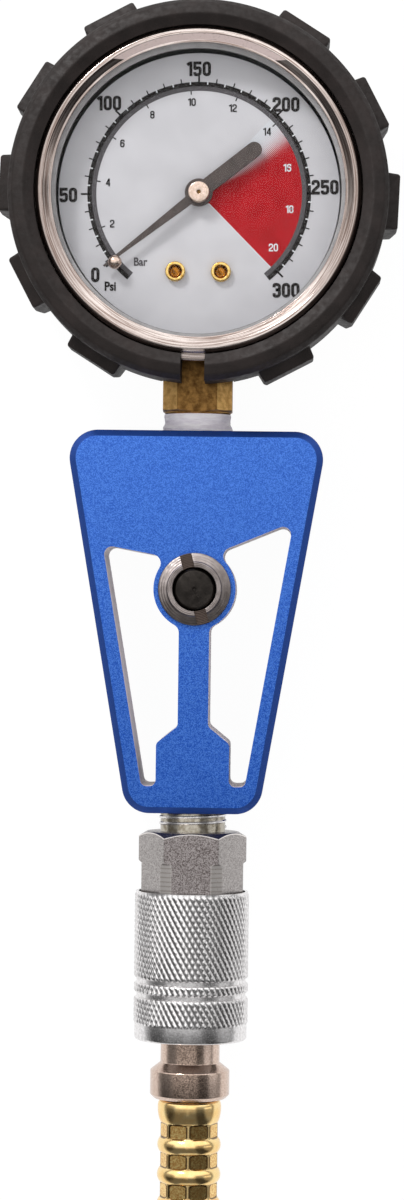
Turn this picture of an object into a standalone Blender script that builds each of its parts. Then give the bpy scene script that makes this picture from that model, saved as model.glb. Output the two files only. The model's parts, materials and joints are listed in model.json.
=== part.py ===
"""Compression tester gauge, lying on its back.

The dial looks up (+Z), the gauge end points towards +Y and the hose end towards -Y. The origin is
the middle of the tool's length, on the surface it lies on. All sizes are in metres.
"""
import math

import bmesh
import bpy
from mathutils import Matrix, Vector

# Clearance between pieces that touch
FIT = 0.0003
# Smallest radius that still counts as off the axis
ON_AXIS = 0.000001
# How far a cutter runs past the face it cuts
PAST = 0.001
# Small broken edge of pins, screws and hubs
EDGE = 0.0002
# Steepest corner between two faces that still looks smooth
SMOOTH_ANGLE = math.radians(32)

# Lengths along the tool, from the gauge end to the hose end
STEM_SHOWN = 0.0094
BLOCK_LENGTH = 0.0770
NECK_LENGTH = 0.0040
HEX_LENGTH = 0.0061
TURNED_LENGTH = 0.0060
SLEEVE_LENGTH = 0.0301
PLUG_NECK_LENGTH = 0.0046
PLUG_BEVEL_LENGTH = 0.0016
COLLAR_LENGTH = 0.0049
COLLAR_CHAMFER = 0.0008
FERRULE_LENGTH = 0.0239

# Rubber boot
BOOT_WALL = 0.0041
BOOT_BACK = 0.0025
BOOT_BACK_SETBACK = 0.0034
BOOT_FOOT_SETBACK = 0.0011
BOOT_CHEEK_SETBACK = 0.0008
BOOT_WAIST_HEIGHT = 0.0160
BOOT_RIDGE_OVER_BEZEL = 0.0024
BOOT_LIP_SLOPE = 0.0013
BOOT_LIP_HEIGHT = 0.0024
BOOT_CROWN_DROP = 0.0020
BOOT_CROWN_SETBACK = 0.0010
BOOT_TURN = math.radians(-2.3)
LUG_PITCH = math.radians(30)
LUG_COUNT = 12
LUG_PLACES_LEFT_OUT = (3, 9)
PLAIN_STATION = 0.3
LUG_HEIGHT = 0.0024
LUG_WIDTH = math.radians(17.4)
LUG_SIDE_SLOPE = math.radians(0.9)
LUG_BOTTOM = 0.0060
LUG_TOP = 0.0262
LUG_BEVEL = 0.0012
SLIT_WIDTH = 0.0048
WALL_HOLE_REACH = 0.0040

# Gauge case, bezel and lens
CASE_RADIUS = 0.0302
CASE_WALL = 0.0010
CASE_CORNER = 0.0012
CASE_RIM = 0.0008
BEZEL_FLANGE_OVER_CASE = 0.0036
BEZEL_RIM_OVER_CASE = 0.0022
BEZEL_LIP_REACH = 0.0031
BEZEL_WALL = 0.0007
BEZEL_LIP = 0.0011
BEZEL_EDGE = 0.0006
BEZEL_ROLL = 0.0010
LENS_THICKNESS = 0.0020
LENS_OVER_DIAL = 0.0046
GASKET_THICKNESS = 0.0006
GASKET_PAST_BEZEL = 0.0007

# Dial and pointer
DIAL_CLEARANCE = 0.0010
DIAL_THICKNESS = 0.0008
DIAL_HOLE_RADIUS = 0.0018
DIAL_OVER_PLATE = 0.0027
DIAL_SCREW_X = 0.00456
DIAL_SCREW_Y = -0.0157
DIAL_SCREW_HEAD_RADIUS = 0.0020
DIAL_SCREW_HEAD = 0.0010
DIAL_SCREW_DISH_RADIUS = 0.0014
DIAL_SCREW_DISH = 0.0005
DIAL_SCREW_RADIUS = 0.0008
DIAL_SCREW_LENGTH = 0.0035
POINTER_OVER_DIAL = 0.0018
POINTER_THICKNESS = 0.0005
POINTER_REST = math.radians(218.3)
POINTER_TIP = 0.0240
POINTER_TIP_WIDTH = 0.0004
POINTER_ROOT_WIDTH = 0.0019
POINTER_BOSS_RADIUS = 0.0028
POINTER_TAIL = 0.0155
POINTER_TAIL_WIDTH = 0.0031
HUB_RADIUS = 0.00215
HUB_HEIGHT = 0.0007
HUB_BARREL_RADIUS = 0.0012
HUB_BARREL_BELOW = 0.0006
HUB_EYE_RADIUS = 0.0004
STOP_PIN_ANGLE = math.radians(220.4)
STOP_PIN_DISTANCE = 0.0218
STOP_PIN_RADIUS = 0.00050
STOP_PIN_HEAD_RADIUS = 0.0014
STOP_PIN_HEAD = 0.0012
STOP_PIN_HEAD_STEPS = 4

# Movement behind the dial
PLATE_THICKNESS = 0.0010
PLATE_SPACE = 0.0047
PLATE_MARGIN = 0.0025
PLATE_CENTRE_MARGIN = 0.0036
SEAT_OVER_AXIS = 0.0005
SEAT_NEAR = 0.0115
SEAT_FAR = 0.0180
SEAT_WIDTH = 0.0170
PILLAR_RADIUS = 0.0012
PILLAR_PLACES = ((-0.0065, -0.0095), (0.0025, 0.0080), (0.0162, -0.0015))
POST_RADIUS = 0.0020
POST_STUD_RADIUS = 0.0010
POST_STUD_LENGTH = 0.0035
GEAR_MODULE = 0.00028
# Rise from the pitch circle in modules, and half the tooth's thickness there in pitches
TOOTH_SECTIONS = ((-1.20, 0.30), (0.0, 0.205), (0.90, 0.11))
PINION_TEETH = 12
SECTOR_RATIO = 9
SECTOR_DIRECTION = math.radians(-35)
SECTOR_THICKNESS = 0.0010
SECTOR_LIFT = 0.0020
SECTOR_TEETH = 14
SECTOR_LEAD = 1
SECTOR_RIM = 0.0018
SECTOR_HUB_RADIUS = 0.0024
SECTOR_ARM_WIDTH = 0.0044
SECTOR_ARBOR_RADIUS = 0.0008
TAIL_ANGLE = math.radians(-30)
TAIL_LENGTH = 0.0050
TAIL_WIDTH = 0.0024
PINION_THICKNESS = 0.0018
ARBOR_RADIUS = 0.0006
ARBOR_BELOW_PLATE = 0.0004
COLLET_RADIUS = 0.0012
COLLET_HEIGHT = 0.0011
HAIRSPRING_TURNS = 3
HAIRSPRING_STEPS = 14
HAIRSPRING_OUTER = 0.0048
HAIRSPRING_STRIP = 0.00015
HAIRSPRING_HEIGHT = 0.0006
STUD_RADIUS = 0.0006
LINK_THICKNESS = 0.0008
LINK_WIDTH = 0.0022
LINK_PIN_RADIUS = 0.0005
TUBE_RADIUS = 0.0210
TUBE_HEIGHT = 0.0090
TUBE_THICKNESS = 0.0026
TUBE_WALL = 0.0004
TUBE_STEPS = 20
TUBE_ROOT_ANGLE = math.radians(269)
TUBE_SLOT_ANGLE = math.radians(236)
TUBE_SLOT_STEPS = 6
TIP_X = 0.0206
TIP_Y = 0.0015
TIP_LENGTH = 0.0040
TIP_WIDTH = 0.0032

# Stem of the gauge
STEM_WIDTH = 0.0140
STEM_CHAMFER = 0.0030
STEM_TO_BLOCK = 0.0039
STEM_THREAD_RADIUS = 0.0062
STEM_THREAD_LENGTH = 0.0142
STEM_BORE_RADIUS = 0.0014
TAPE_THICKNESS = 0.0004
TAPE_LENGTH = 0.0110

# Block
BLOCK_THICKNESS = 0.0190
BLOCK_TOP_HALF_WIDTH = 0.02656
BLOCK_BOTTOM_HALF_WIDTH = 0.01329
BLOCK_TOP_CORNER = 0.0057
BLOCK_BOTTOM_CORNER = 0.0055
BLOCK_CHAMFER = 0.0013
LEFT_WALL = 0.0040
RIGHT_WALL = 0.0037
WINDOW_LEFT_TOP = 0.0231
WINDOW_RIGHT_TOP = 0.0182
WINDOW_LEFT_SLOPE = math.radians(10.5)
WINDOW_RIGHT_SLOPE = math.radians(22.5)
WINDOW_BOTTOM_BAR = 0.0055
WINDOW_CORNER = 0.0016
BOSS_DEPTH = 0.0319
BOSS_RADIUS = 0.00825
BOSS_FILLET = 0.0018
STRUT_WIDTH = 0.0061
PAD_WIDTH = 0.0147
PAD_HEIGHT = 0.0176
PAD_SHOULDER = 0.0035
PAD_CORNER = 0.0012
PAD_FOOT_CORNER = 0.0010
FOOT_CORNER_SHARE = 0.45
PORT_WALL_GAP = 0.0003
PASSAGE_RADIUS = 0.0015

# Release valve
NUT_RADIUS = 0.0073
NUT_FACE_RADIUS = 0.0054
NUT_HEIGHT = 0.0013
NUT_RIM = 0.0004
NUT_THREAD_RADIUS = 0.0057
NUT_THREAD_LENGTH = 0.0061
NUT_SLOT_WIDTH = 0.0022
NUT_SLOT_DEPTH = 0.0009
NUT_SLOT_TURN = math.radians(105)
BUTTON_RADIUS = 0.0043
BUTTON_BELOW_NUT = 0.0002
BUTTON_EDGE = 0.0004
BUTTON_FLANGE_RADIUS = 0.0049
BUTTON_FLANGE = 0.0013
BUTTON_TRAVEL = 0.0020
CHAMBER_DEPTH = 0.0137
GUIDE_RADIUS = 0.0024
GUIDE_DEPTH = 0.0038
VALVE_STEM_RADIUS = 0.0015
VALVE_STEM_HEAD_RADIUS = 0.0030
VALVE_STEM_HEAD = 0.0008
SEAL_RING = 0.0004
BUTTON_SPRING_WIRE = 0.0007
BUTTON_SPRING_RADIUS = 0.0039
BUTTON_SPRING_TURNS = 4

# Coupler
COUPLER_THREAD_RADIUS = 0.0066
COUPLER_THREAD_LENGTH = 0.0097
HEX_WIDTH = 0.0190
HEX_CHAMFER = 0.0012
HEX_BACK_BEVEL = 0.0003
HEX_TURNED_RADIUS = 0.01035
HEX_HIDDEN_LENGTH = 0.0016
BODY_TUBE_RADIUS = 0.0085
BODY_TUBE_SHORT = 0.0008
SUPPLY_BORE_RADIUS = 0.0030
POPPET_CHAMBER_RADIUS = 0.0050
POPPET_CHAMBER_START = 0.0140
POPPET_CHAMBER_END = 0.0240
SLEEVE_RADIUS = 0.0116
SLEEVE_WALL = 0.00075
SLEEVE_LAND_START = 0.0305
SLEEVE_LAND_END = 0.0426
SLEEVE_MOUTH_RADIUS = 0.0100
SLEEVE_EDGE = 0.0007
SLEEVE_GROOVES = (0.0180, 0.0209)
SLEEVE_GROOVE_WIDTH = 0.0011
SLEEVE_GROOVE_DEPTH = 0.0005
SLEEVE_KNURL_END = 0.0267
SLEEVE_NOSE_DROP = 0.0002
SLEEVE_SPRING_WIRE = 0.0009
SLEEVE_SPRING_RADIUS = 0.0097
SLEEVE_SPRING_TURNS = 6
BALL_RADIUS = 0.0015
BALL_COUNT = 4
BALL_PLACE = 0.0387
BALL_CIRCLE = 0.0070
SNAP_RING_THICKNESS = 0.0012
SNAP_RING_SECTION = 0.0017
SNAP_GROOVE_DEPTH = 0.0008

# Plug, ferrule and hose end
PLUG_RADIUS = 0.00585
PLUG_NOSE_RADIUS = 0.0041
PLUG_NOSE_START = 0.0220
PLUG_BODY_START = 0.0268
PLUG_CHAMFER = 0.0006
PLUG_GROOVE_DEPTH = 0.0009
PLUG_GROOVE_WIDTH = 0.0036
PLUG_NECK_RADIUS = 0.0060
COLLAR_RADIUS = 0.00805
PLUG_BORE_RADIUS = 0.0020
BARB_RADIUS = 0.0030
BARB_LENGTH = 0.0180
SEAL_THICKNESS = 0.0021
POPPET_RADIUS = 0.0039
POPPET_THICKNESS = 0.0012
POPPET_SPRING_RADIUS = 0.0032
POPPET_SPRING_WIRE = 0.0006
POPPET_SPRING_TURNS = 4
HOSE_RADIUS = 0.0046
FERRULE_BULGE_RADIUS = 0.00645
FERRULE_CRIMP_RADIUS = 0.0055
FERRULE_RIDGE_RADIUS = 0.0058
FERRULE_EDGE = 0.0004
FERRULE_FLOOR = 0.0012
FERRULE_FLATS = 8
CRIMP_COUNT = 3
CRIMP_WIDTH = 0.0025
CRIMP_PITCH = 0.00605
FIRST_CRIMP = 0.0061
CRIMP_SLOPE = 0.0007

# Facets of round pieces
LARGE_ROUND = 36
MEDIUM_ROUND = 28
COUPLER_ROUND = 24
SMALL_ROUND = 20
PIN_ROUND = 12
TINY_ROUND = 8
COIL_STEPS = 8
COIL_SIDES = 4
SEAL_SIDES = 6
FILLET_STEPS = 3
BLOCK_CORNER_STEPS = 6
BOSS_FILLET_STEPS = 4
BOSS_STEPS = 8

# Places worked out from the sizes above
BEZEL_FLANGE_RADIUS = CASE_RADIUS + BEZEL_FLANGE_OVER_CASE
BEZEL_RIM_RADIUS = CASE_RADIUS + BEZEL_RIM_OVER_CASE
BEZEL_INNER_RADIUS = BEZEL_RIM_RADIUS - BEZEL_LIP_REACH
GASKET_INNER_RADIUS = BEZEL_INNER_RADIUS - GASKET_PAST_BEZEL
DIAL_RADIUS = CASE_RADIUS - CASE_WALL - DIAL_CLEARANCE
BOOT_RADIUS = BEZEL_FLANGE_RADIUS + BOOT_WALL
BOOT_BACK_RADIUS = BOOT_RADIUS - BOOT_BACK_SETBACK
BOOT_RIDGE_RADIUS = BEZEL_RIM_RADIUS + BOOT_RIDGE_OVER_BEZEL
GAUGE_TO_BLOCK = BOOT_RADIUS + STEM_SHOWN
BLOCK_TAPER = (BLOCK_TOP_HALF_WIDTH - BLOCK_BOTTOM_HALF_WIDTH) / BLOCK_LENGTH
TOOL_LENGTH = (BOOT_RADIUS + GAUGE_TO_BLOCK + BLOCK_LENGTH + NECK_LENGTH + HEX_LENGTH + TURNED_LENGTH
               + SLEEVE_LENGTH + PLUG_NECK_LENGTH + PLUG_BEVEL_LENGTH + COLLAR_LENGTH + COLLAR_CHAMFER
               + FIT + FERRULE_LENGTH)
GAUGE_Y = TOOL_LENGTH / 2 - BOOT_RADIUS
BLOCK_TOP_Y = GAUGE_Y - GAUGE_TO_BLOCK
BLOCK_BOTTOM_Y = BLOCK_TOP_Y - BLOCK_LENGTH
BOSS_Y = BLOCK_TOP_Y - BOSS_DEPTH
AXIS_Z = SLEEVE_RADIUS
BLOCK_BACK_Z = AXIS_Z - BLOCK_THICKNESS / 2
BLOCK_FRONT_Z = AXIS_Z + BLOCK_THICKNESS / 2

CASE_BACK_Z = BOOT_BACK + FIT
SEAT_Z = AXIS_Z + SEAT_OVER_AXIS
BACK_PLATE_Z = SEAT_Z + FIT
PLATE_GAP_Z = BACK_PLATE_Z + PLATE_THICKNESS
FRONT_PLATE_Z = PLATE_GAP_Z + PLATE_SPACE
DIAL_BACK_Z = FRONT_PLATE_Z + PLATE_THICKNESS + DIAL_OVER_PLATE
DIAL_Z = DIAL_BACK_Z + DIAL_THICKNESS
POINTER_Z = DIAL_Z + POINTER_OVER_DIAL
HUB_Z = POINTER_Z + POINTER_THICKNESS + FIT
LENS_Z = DIAL_Z + LENS_OVER_DIAL
LENS_TOP_Z = LENS_Z + LENS_THICKNESS
GASKET_Z = LENS_Z - FIT - GASKET_THICKNESS
CASE_RIM_Z = GASKET_Z - FIT
BEZEL_LIP_Z = LENS_TOP_Z + FIT
BEZEL_TOP_Z = BEZEL_LIP_Z + BEZEL_LIP
BEZEL_BOTTOM_Z = CASE_RIM_Z - CASE_RIM - FIT - BEZEL_WALL
BEZEL_SHOULDER_Z = LENS_Z + BEZEL_WALL - FIT
BOOT_GROOVE_Z = BEZEL_SHOULDER_Z + FIT
BOOT_RIDGE_Z = BOOT_GROOVE_Z + BOOT_LIP_HEIGHT + BOOT_LIP_SLOPE
SECTOR_Z = PLATE_GAP_Z + SECTOR_LIFT
LINK_Z = SECTOR_Z + SECTOR_THICKNESS + FIT
PINION_Z = SECTOR_Z + SECTOR_THICKNESS / 2 - PINION_THICKNESS / 2

PINION_RADIUS = GEAR_MODULE * PINION_TEETH / 2
SECTOR_RADIUS = PINION_RADIUS * SECTOR_RATIO
GEAR_CENTRES = PINION_RADIUS + SECTOR_RADIUS
SECTOR_X = GEAR_CENTRES * math.cos(SECTOR_DIRECTION)
SECTOR_Y = GEAR_CENTRES * math.sin(SECTOR_DIRECTION)
TAIL_X = SECTOR_X + TAIL_LENGTH * math.cos(TAIL_ANGLE)
TAIL_Y = SECTOR_Y + TAIL_LENGTH * math.sin(TAIL_ANGLE)
TIP_ANGLE = math.atan2(TIP_Y, TIP_X)
TUBE_END_ANGLE = TIP_ANGLE + (TIP_LENGTH / 2 + FIT) / TUBE_RADIUS
# The tip of an evenly bending tube turns about the middle of gravity of the tube's arc
TUBE_HALF_SWEEP = (TUBE_ROOT_ANGLE - TUBE_END_ANGLE) / 2
TIP_PIVOT_DISTANCE = TUBE_RADIUS * math.sin(TUBE_HALF_SWEEP) / TUBE_HALF_SWEEP
TIP_PIVOT_X = TIP_PIVOT_DISTANCE * math.cos(TUBE_END_ANGLE + TUBE_HALF_SWEEP)
TIP_PIVOT_Y = TIP_PIVOT_DISTANCE * math.sin(TUBE_END_ANGLE + TUBE_HALF_SWEEP)

HEX_END = NECK_LENGTH + HEX_LENGTH
SLEEVE_START = HEX_END + TURNED_LENGTH
SLEEVE_END = SLEEVE_START + SLEEVE_LENGTH
COLLAR_START = SLEEVE_END + PLUG_NECK_LENGTH + PLUG_BEVEL_LENGTH
COLLAR_END = COLLAR_START + COLLAR_LENGTH + COLLAR_CHAMFER
FERRULE_START = COLLAR_END + FIT
FERRULE_END = FERRULE_START + FERRULE_LENGTH
BODY_SHOULDER = SLEEVE_START + HEX_HIDDEN_LENGTH
BODY_END = SLEEVE_END - BODY_TUBE_SHORT
BODY_BORE_RADIUS = PLUG_RADIUS + FIT
SNAP_RING_START = SLEEVE_LAND_END + FIT


def clear_scene():
    """Remove whatever the scene holds."""
    for old in list(bpy.data.objects):
        bpy.data.objects.remove(old, do_unlink=True)


def finish(name, colour, roughness, metallic):
    """Make one plain material."""
    made = bpy.data.materials.new(name)
    made.use_nodes = True
    shader = made.node_tree.nodes["Principled BSDF"]
    shader.inputs["Base Color"].default_value = (*colour, 1)
    shader.inputs["Roughness"].default_value = roughness
    shader.inputs["Metallic"].default_value = metallic
    made.diffuse_color = (*colour, 1)
    return made


def make_finishes():
    """The materials of the whole tool, by name."""
    return {
        "rubber": finish("black_rubber", (0.030, 0.028, 0.026), 0.75, 0.0),
        "chrome": finish("polished_steel", (0.62, 0.58, 0.55), 0.15, 1.0),
        "case": finish("case_steel", (0.45, 0.45, 0.46), 0.35, 1.0),
        "lens": finish("clear_lens", (0.90, 0.92, 0.93), 0.05, 0.0),
        "gasket": finish("grey_gasket", (0.30, 0.30, 0.31), 0.50, 0.0),
        "dial": finish("dial_white", (0.68, 0.70, 0.72), 0.50, 0.0),
        "brass": finish("brass", (0.36, 0.22, 0.07), 0.40, 1.0),
        "bright_brass": finish("bright_brass", (0.75, 0.52, 0.16), 0.20, 1.0),
        "pointer": finish("pointer_black", (0.035, 0.030, 0.028), 0.50, 0.0),
        "nickel": finish("warm_nickel", (0.58, 0.50, 0.46), 0.22, 1.0),
        "tape": finish("white_tape", (0.75, 0.73, 0.76), 0.60, 0.0),
        "blue": finish("blue_anodised", (0.045, 0.13, 0.58), 0.38, 0.7),
        "nut": finish("turned_steel", (0.22, 0.19, 0.17), 0.35, 1.0),
        "button": finish("button_black", (0.020, 0.018, 0.016), 0.40, 0.0),
        "zinc": finish("zinc_steel", (0.42, 0.41, 0.40), 0.30, 1.0),
        "spring": finish("spring_steel", (0.50, 0.50, 0.50), 0.25, 1.0),
        "seal": finish("seal_rubber", (0.02, 0.02, 0.02), 0.60, 0.0),
    }


def as_object(name, shape, material, location=(0, 0, 0), rotation=(0, 0, 0)):
    """Turn a bmesh into a named object with its faces pointing out."""
    bmesh.ops.recalc_face_normals(shape, faces=shape.faces)
    mesh = bpy.data.meshes.new(name)
    shape.to_mesh(mesh)
    shape.free()
    mesh.shade_smooth()
    mesh.set_sharp_from_angle(angle=SMOOTH_ANGLE)
    made = bpy.data.objects.new(name, mesh)
    made.location = location
    made.rotation_euler = rotation
    if material is not None:
        mesh.materials.append(material)
    bpy.context.scene.collection.objects.link(made)
    return made


def helper(name, shape, location=(0, 0, 0), rotation=(0, 0, 0)):
    """A body that only serves a Boolean."""
    made = as_object(name, shape, None, location, rotation)
    made.hide_render = True
    made.display_type = "WIRE"
    return made


def combine(target, other, operation):
    """Cut or join one body by another."""
    step = target.modifiers.new(other.name, "BOOLEAN")
    step.operation = operation
    step.solver = "EXACT"
    step.object = other


def cut(target, other):
    combine(target, other, "DIFFERENCE")


def join(target, other):
    combine(target, other, "UNION")


def circle(radius, count, centre=(0, 0), start=0.0):
    """Points round a circle."""
    return [(centre[0] + radius * math.cos(start + step * 2 * math.pi / count),
             centre[1] + radius * math.sin(start + step * 2 * math.pi / count)) for step in range(count)]


def arc(centre, radius, first, last, steps):
    """Points along an arc, both ends included."""
    points = []
    for step in range(steps + 1):
        angle = first + (last - first) * step / steps
        points.append((centre[0] + radius * math.cos(angle), centre[1] + radius * math.sin(angle)))
    return points


def rounded(corners, steps=FILLET_STEPS):
    """Outline through corners given as (x, y, radius), with each radius as an arc."""
    points = []
    for index, (x, y, radius) in enumerate(corners):
        if radius <= 0:
            points.append((x, y))
            continue
        here = Vector((x, y))
        before = (Vector(corners[index - 1][:2]) - here).normalized()
        after = (Vector(corners[(index + 1) % len(corners)][:2]) - here).normalized()
        half = before.angle(after) / 2
        centre = here + (before + after).normalized() * radius / math.sin(half)
        first = here + before * radius / math.tan(half) - centre
        last = here + after * radius / math.tan(half) - centre
        turn = first.angle_signed(last)
        for step in range(steps + 1):
            spoke = first.copy()
            spoke.rotate(Matrix.Rotation(-turn * step / steps, 2))
            points.append(tuple(centre + spoke))
    return points


def hull(circles, count=16):
    """Outline that wraps circles given as (x, y, radius)."""
    points = sorted({point for x, y, radius in circles for point in circle(radius, count, (x, y))})

    def side(ordered):
        kept = []
        for point in ordered:
            while len(kept) > 1:
                (ax, ay), (bx, by) = kept[-2], kept[-1]
                if (bx - ax) * (point[1] - ay) - (by - ay) * (point[0] - ax) > 0:
                    break
                kept.pop()
            kept.append(point)
        return kept[:-1]

    return side(points) + side(list(reversed(points)))


def loft(loops, closed=False):
    """A body whose walls join equal loops of points; its two ends are capped unless it is closed."""
    shape = bmesh.new()
    rings = [[shape.verts.new(point) for point in loop] for loop in loops]
    count = len(rings[0])
    pairs = list(zip(rings, rings[1:]))
    if closed:
        pairs.append((rings[-1], rings[0]))
    for lower, upper in pairs:
        for index in range(count):
            following = (index + 1) % count
            shape.faces.new((lower[index], lower[following], upper[following], upper[index]))
    if not closed:
        shape.faces.new(list(reversed(rings[0])))
        shape.faces.new(rings[-1])
    return shape


def extruded(outline, low, high):
    """A flat plate with the outline's shape between two heights."""
    return loft([[(x, y, low) for x, y in outline], [(x, y, high) for x, y in outline]])


def box(x_low, x_high, y_low, y_high, z_low, z_high):
    outline = [(x_low, y_low), (x_high, y_low), (x_high, y_high), (x_low, y_high)]
    return extruded(outline, z_low, z_high)


def turned(profile, count):
    """A turned body from (radius, height) points; a point on the axis closes it there."""
    shape = bmesh.new()
    flat_first = profile[0][0] < ON_AXIS and profile[0][1] == profile[1][1]
    flat_last = profile[-1][0] < ON_AXIS and profile[-1][1] == profile[-2][1]
    rings = []
    for radius, height in profile[int(flat_first):len(profile) - int(flat_last)]:
        if radius < ON_AXIS:
            rings.append([shape.verts.new((0, 0, height))])
        else:
            rings.append([shape.verts.new((x, y, height)) for x, y in circle(radius, count)])
    pairs = list(zip(rings, rings[1:]))
    if flat_first:
        shape.faces.new(list(reversed(rings[0])))
    if flat_last:
        shape.faces.new(rings[-1])
    if min(profile[0][0], profile[-1][0]) > ON_AXIS:
        pairs.append((rings[-1], rings[0]))
    for lower, upper in pairs:
        for index in range(count):
            following = (index + 1) % count
            corners = []
            for ring in ((lower, index), (lower, following), (upper, following), (upper, index)):
                vertex = ring[0][ring[1] % len(ring[0])]
                if vertex not in corners:
                    corners.append(vertex)
            if len(corners) > 2:
                shape.faces.new(corners)
    return shape


def rod(radius, low, high, count=SMALL_ROUND):
    return turned([(0, low), (radius, low), (radius, high), (0, high)], count)


def swept(path, section):
    """A body along a path of (place, outward, upward) frames with a flat section of (across, up) points."""
    loops = []
    for place, outward, upward in path:
        loops.append([place + outward * across + upward * up for across, up in section])
    return loft(loops)


def coil(radius, wire, low, high, turns):
    """A coil spring whose wire lies between two heights."""
    steps = turns * COIL_STEPS
    rise = (high - low - wire) / steps
    path = []
    for step in range(steps + 1):
        angle = step * 2 * math.pi / COIL_STEPS
        outward = Vector((math.cos(angle), math.sin(angle), 0))
        place = outward * radius + Vector((0, 0, low + wire / 2 + rise * step))
        path.append((place, outward, Vector((0, 0, 1))))
    return swept(path, circle(wire / 2, COIL_SIDES))


def polar(distance, angle, centre=(0, 0)):
    return (centre[0] + distance * math.cos(angle), centre[1] + distance * math.sin(angle))


def tooth(radius, middle):
    """One gear tooth on a pitch circle: root, flank and tip points on both sides."""
    pitch = math.pi * GEAR_MODULE
    sides = []
    for sign in (-1, 1):
        side = []
        for rise, half_thickness in TOOTH_SECTIONS:
            height = radius + rise * GEAR_MODULE
            side.append(polar(height, middle + sign * half_thickness * pitch / radius))
        sides.append(side)
    return sides[0] + list(reversed(sides[1]))


def boot_profile():
    """Section of the boot, up its outside and down inside, without the two points on its axis."""
    lip = BEZEL_RIM_RADIUS + FIT
    flange = BEZEL_FLANGE_RADIUS + FIT
    cavity = CASE_RADIUS + FIT
    return [
        (BOOT_BACK_RADIUS, 0),
        (BOOT_RADIUS - BOOT_FOOT_SETBACK, LUG_BOTTOM - LUG_BEVEL),
        (BOOT_RADIUS - BOOT_CHEEK_SETBACK, LUG_BOTTOM),
        (BOOT_RADIUS, BOOT_WAIST_HEIGHT),
        (BOOT_RADIUS, LUG_TOP - LUG_BEVEL),
        (BOOT_RADIUS, LUG_TOP),
        (BOOT_RADIUS - EDGE, BOOT_RIDGE_Z - BOOT_CROWN_DROP),
        (BOOT_RADIUS - BOOT_CROWN_SETBACK, BOOT_RIDGE_Z - BOOT_CROWN_DROP / 3),
        (BOOT_RIDGE_RADIUS, BOOT_RIDGE_Z),
        (lip, BOOT_RIDGE_Z - BOOT_LIP_SLOPE),
        (lip, BOOT_GROOVE_Z),
        (flange, BOOT_GROOVE_Z),
        (flange, BEZEL_BOTTOM_Z - FIT),
        (cavity, BEZEL_BOTTOM_Z - FIT),
        (cavity, BOOT_BACK),
    ]


def boot_angles():
    """Angles of the boot's stations, with the lug's share of its height at each."""
    stations = []
    for place in range(LUG_COUNT):
        middle = place * LUG_PITCH + BOOT_TURN
        if place in LUG_PLACES_LEFT_OUT:
            stations += [(middle + share * LUG_PITCH, 0.0) for share in (-PLAIN_STATION, 0, PLAIN_STATION)]
            continue
        half = LUG_WIDTH / 2
        stations += [(middle - half, 0.0), (middle - half + LUG_SIDE_SLOPE, 1.0), (middle, 1.0),
                     (middle + half - LUG_SIDE_SLOPE, 1.0), (middle + half, 0.0)]
    return stations


def rubber_boot(looks):
    profile = boot_profile()
    shape = bmesh.new()
    stations = []
    for angle, share in boot_angles():
        station = []
        for radius, height in profile:
            on_lug = LUG_BOTTOM <= height <= LUG_TOP - LUG_BEVEL and radius > BOOT_RIDGE_RADIUS
            reach = radius + (LUG_HEIGHT * share if on_lug else 0)
            station.append(shape.verts.new((reach * math.cos(angle), reach * math.sin(angle), height)))
        stations.append(station)
    back = shape.verts.new((0, 0, 0))
    floor = shape.verts.new((0, 0, BOOT_BACK))
    for index, station in enumerate(stations):
        following = stations[(index + 1) % len(stations)]
        for low, high in zip(range(len(profile)), range(1, len(profile))):
            shape.faces.new((station[low], following[low], following[high], station[high]))
        shape.faces.new((back, following[0], station[0]))
        shape.faces.new((floor, station[-1], following[-1]))
    boot = as_object("rubber_boot", shape, looks["rubber"], (0, GAUGE_Y, 0))

    half = STEM_WIDTH / 2 + FIT
    reach = BOOT_RADIUS + LUG_HEIGHT + PAST
    inside = WALL_HOLE_REACH - CASE_RADIUS
    hole = box(-half, half, -reach, inside, AXIS_Z - half, AXIS_Z + half)
    cut(boot, helper("boot_stem_hole", hole, (0, GAUGE_Y, 0)))
    slit = box(-SLIT_WIDTH / 2, SLIT_WIDTH / 2, -reach, inside, AXIS_Z, BOOT_RIDGE_Z + PAST)
    cut(boot, helper("boot_slit", slit, (0, GAUGE_Y, 0), (0, 0, BOOT_TURN / 2)))


def gauge_case(looks):
    inner = CASE_RADIUS - CASE_WALL
    flange = BEZEL_FLANGE_RADIUS - BEZEL_WALL - FIT
    profile = [(0, CASE_BACK_Z), (CASE_RADIUS - CASE_CORNER, CASE_BACK_Z),
               (CASE_RADIUS, CASE_BACK_Z + CASE_CORNER), (CASE_RADIUS, CASE_RIM_Z - CASE_RIM),
               (flange, CASE_RIM_Z - CASE_RIM), (flange, CASE_RIM_Z), (inner, CASE_RIM_Z),
               (inner, CASE_BACK_Z + CASE_WALL), (0, CASE_BACK_Z + CASE_WALL)]
    case = as_object("gauge_case", turned(profile, MEDIUM_ROUND), looks["case"], (0, GAUGE_Y, 0))
    half = STEM_WIDTH / 2 + FIT
    hole = box(-half, half, -CASE_RADIUS - PAST, WALL_HOLE_REACH - CASE_RADIUS, AXIS_Z - half,
               AXIS_Z + half)
    cut(case, helper("case_stem_hole", hole, (0, GAUGE_Y, 0)))


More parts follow.
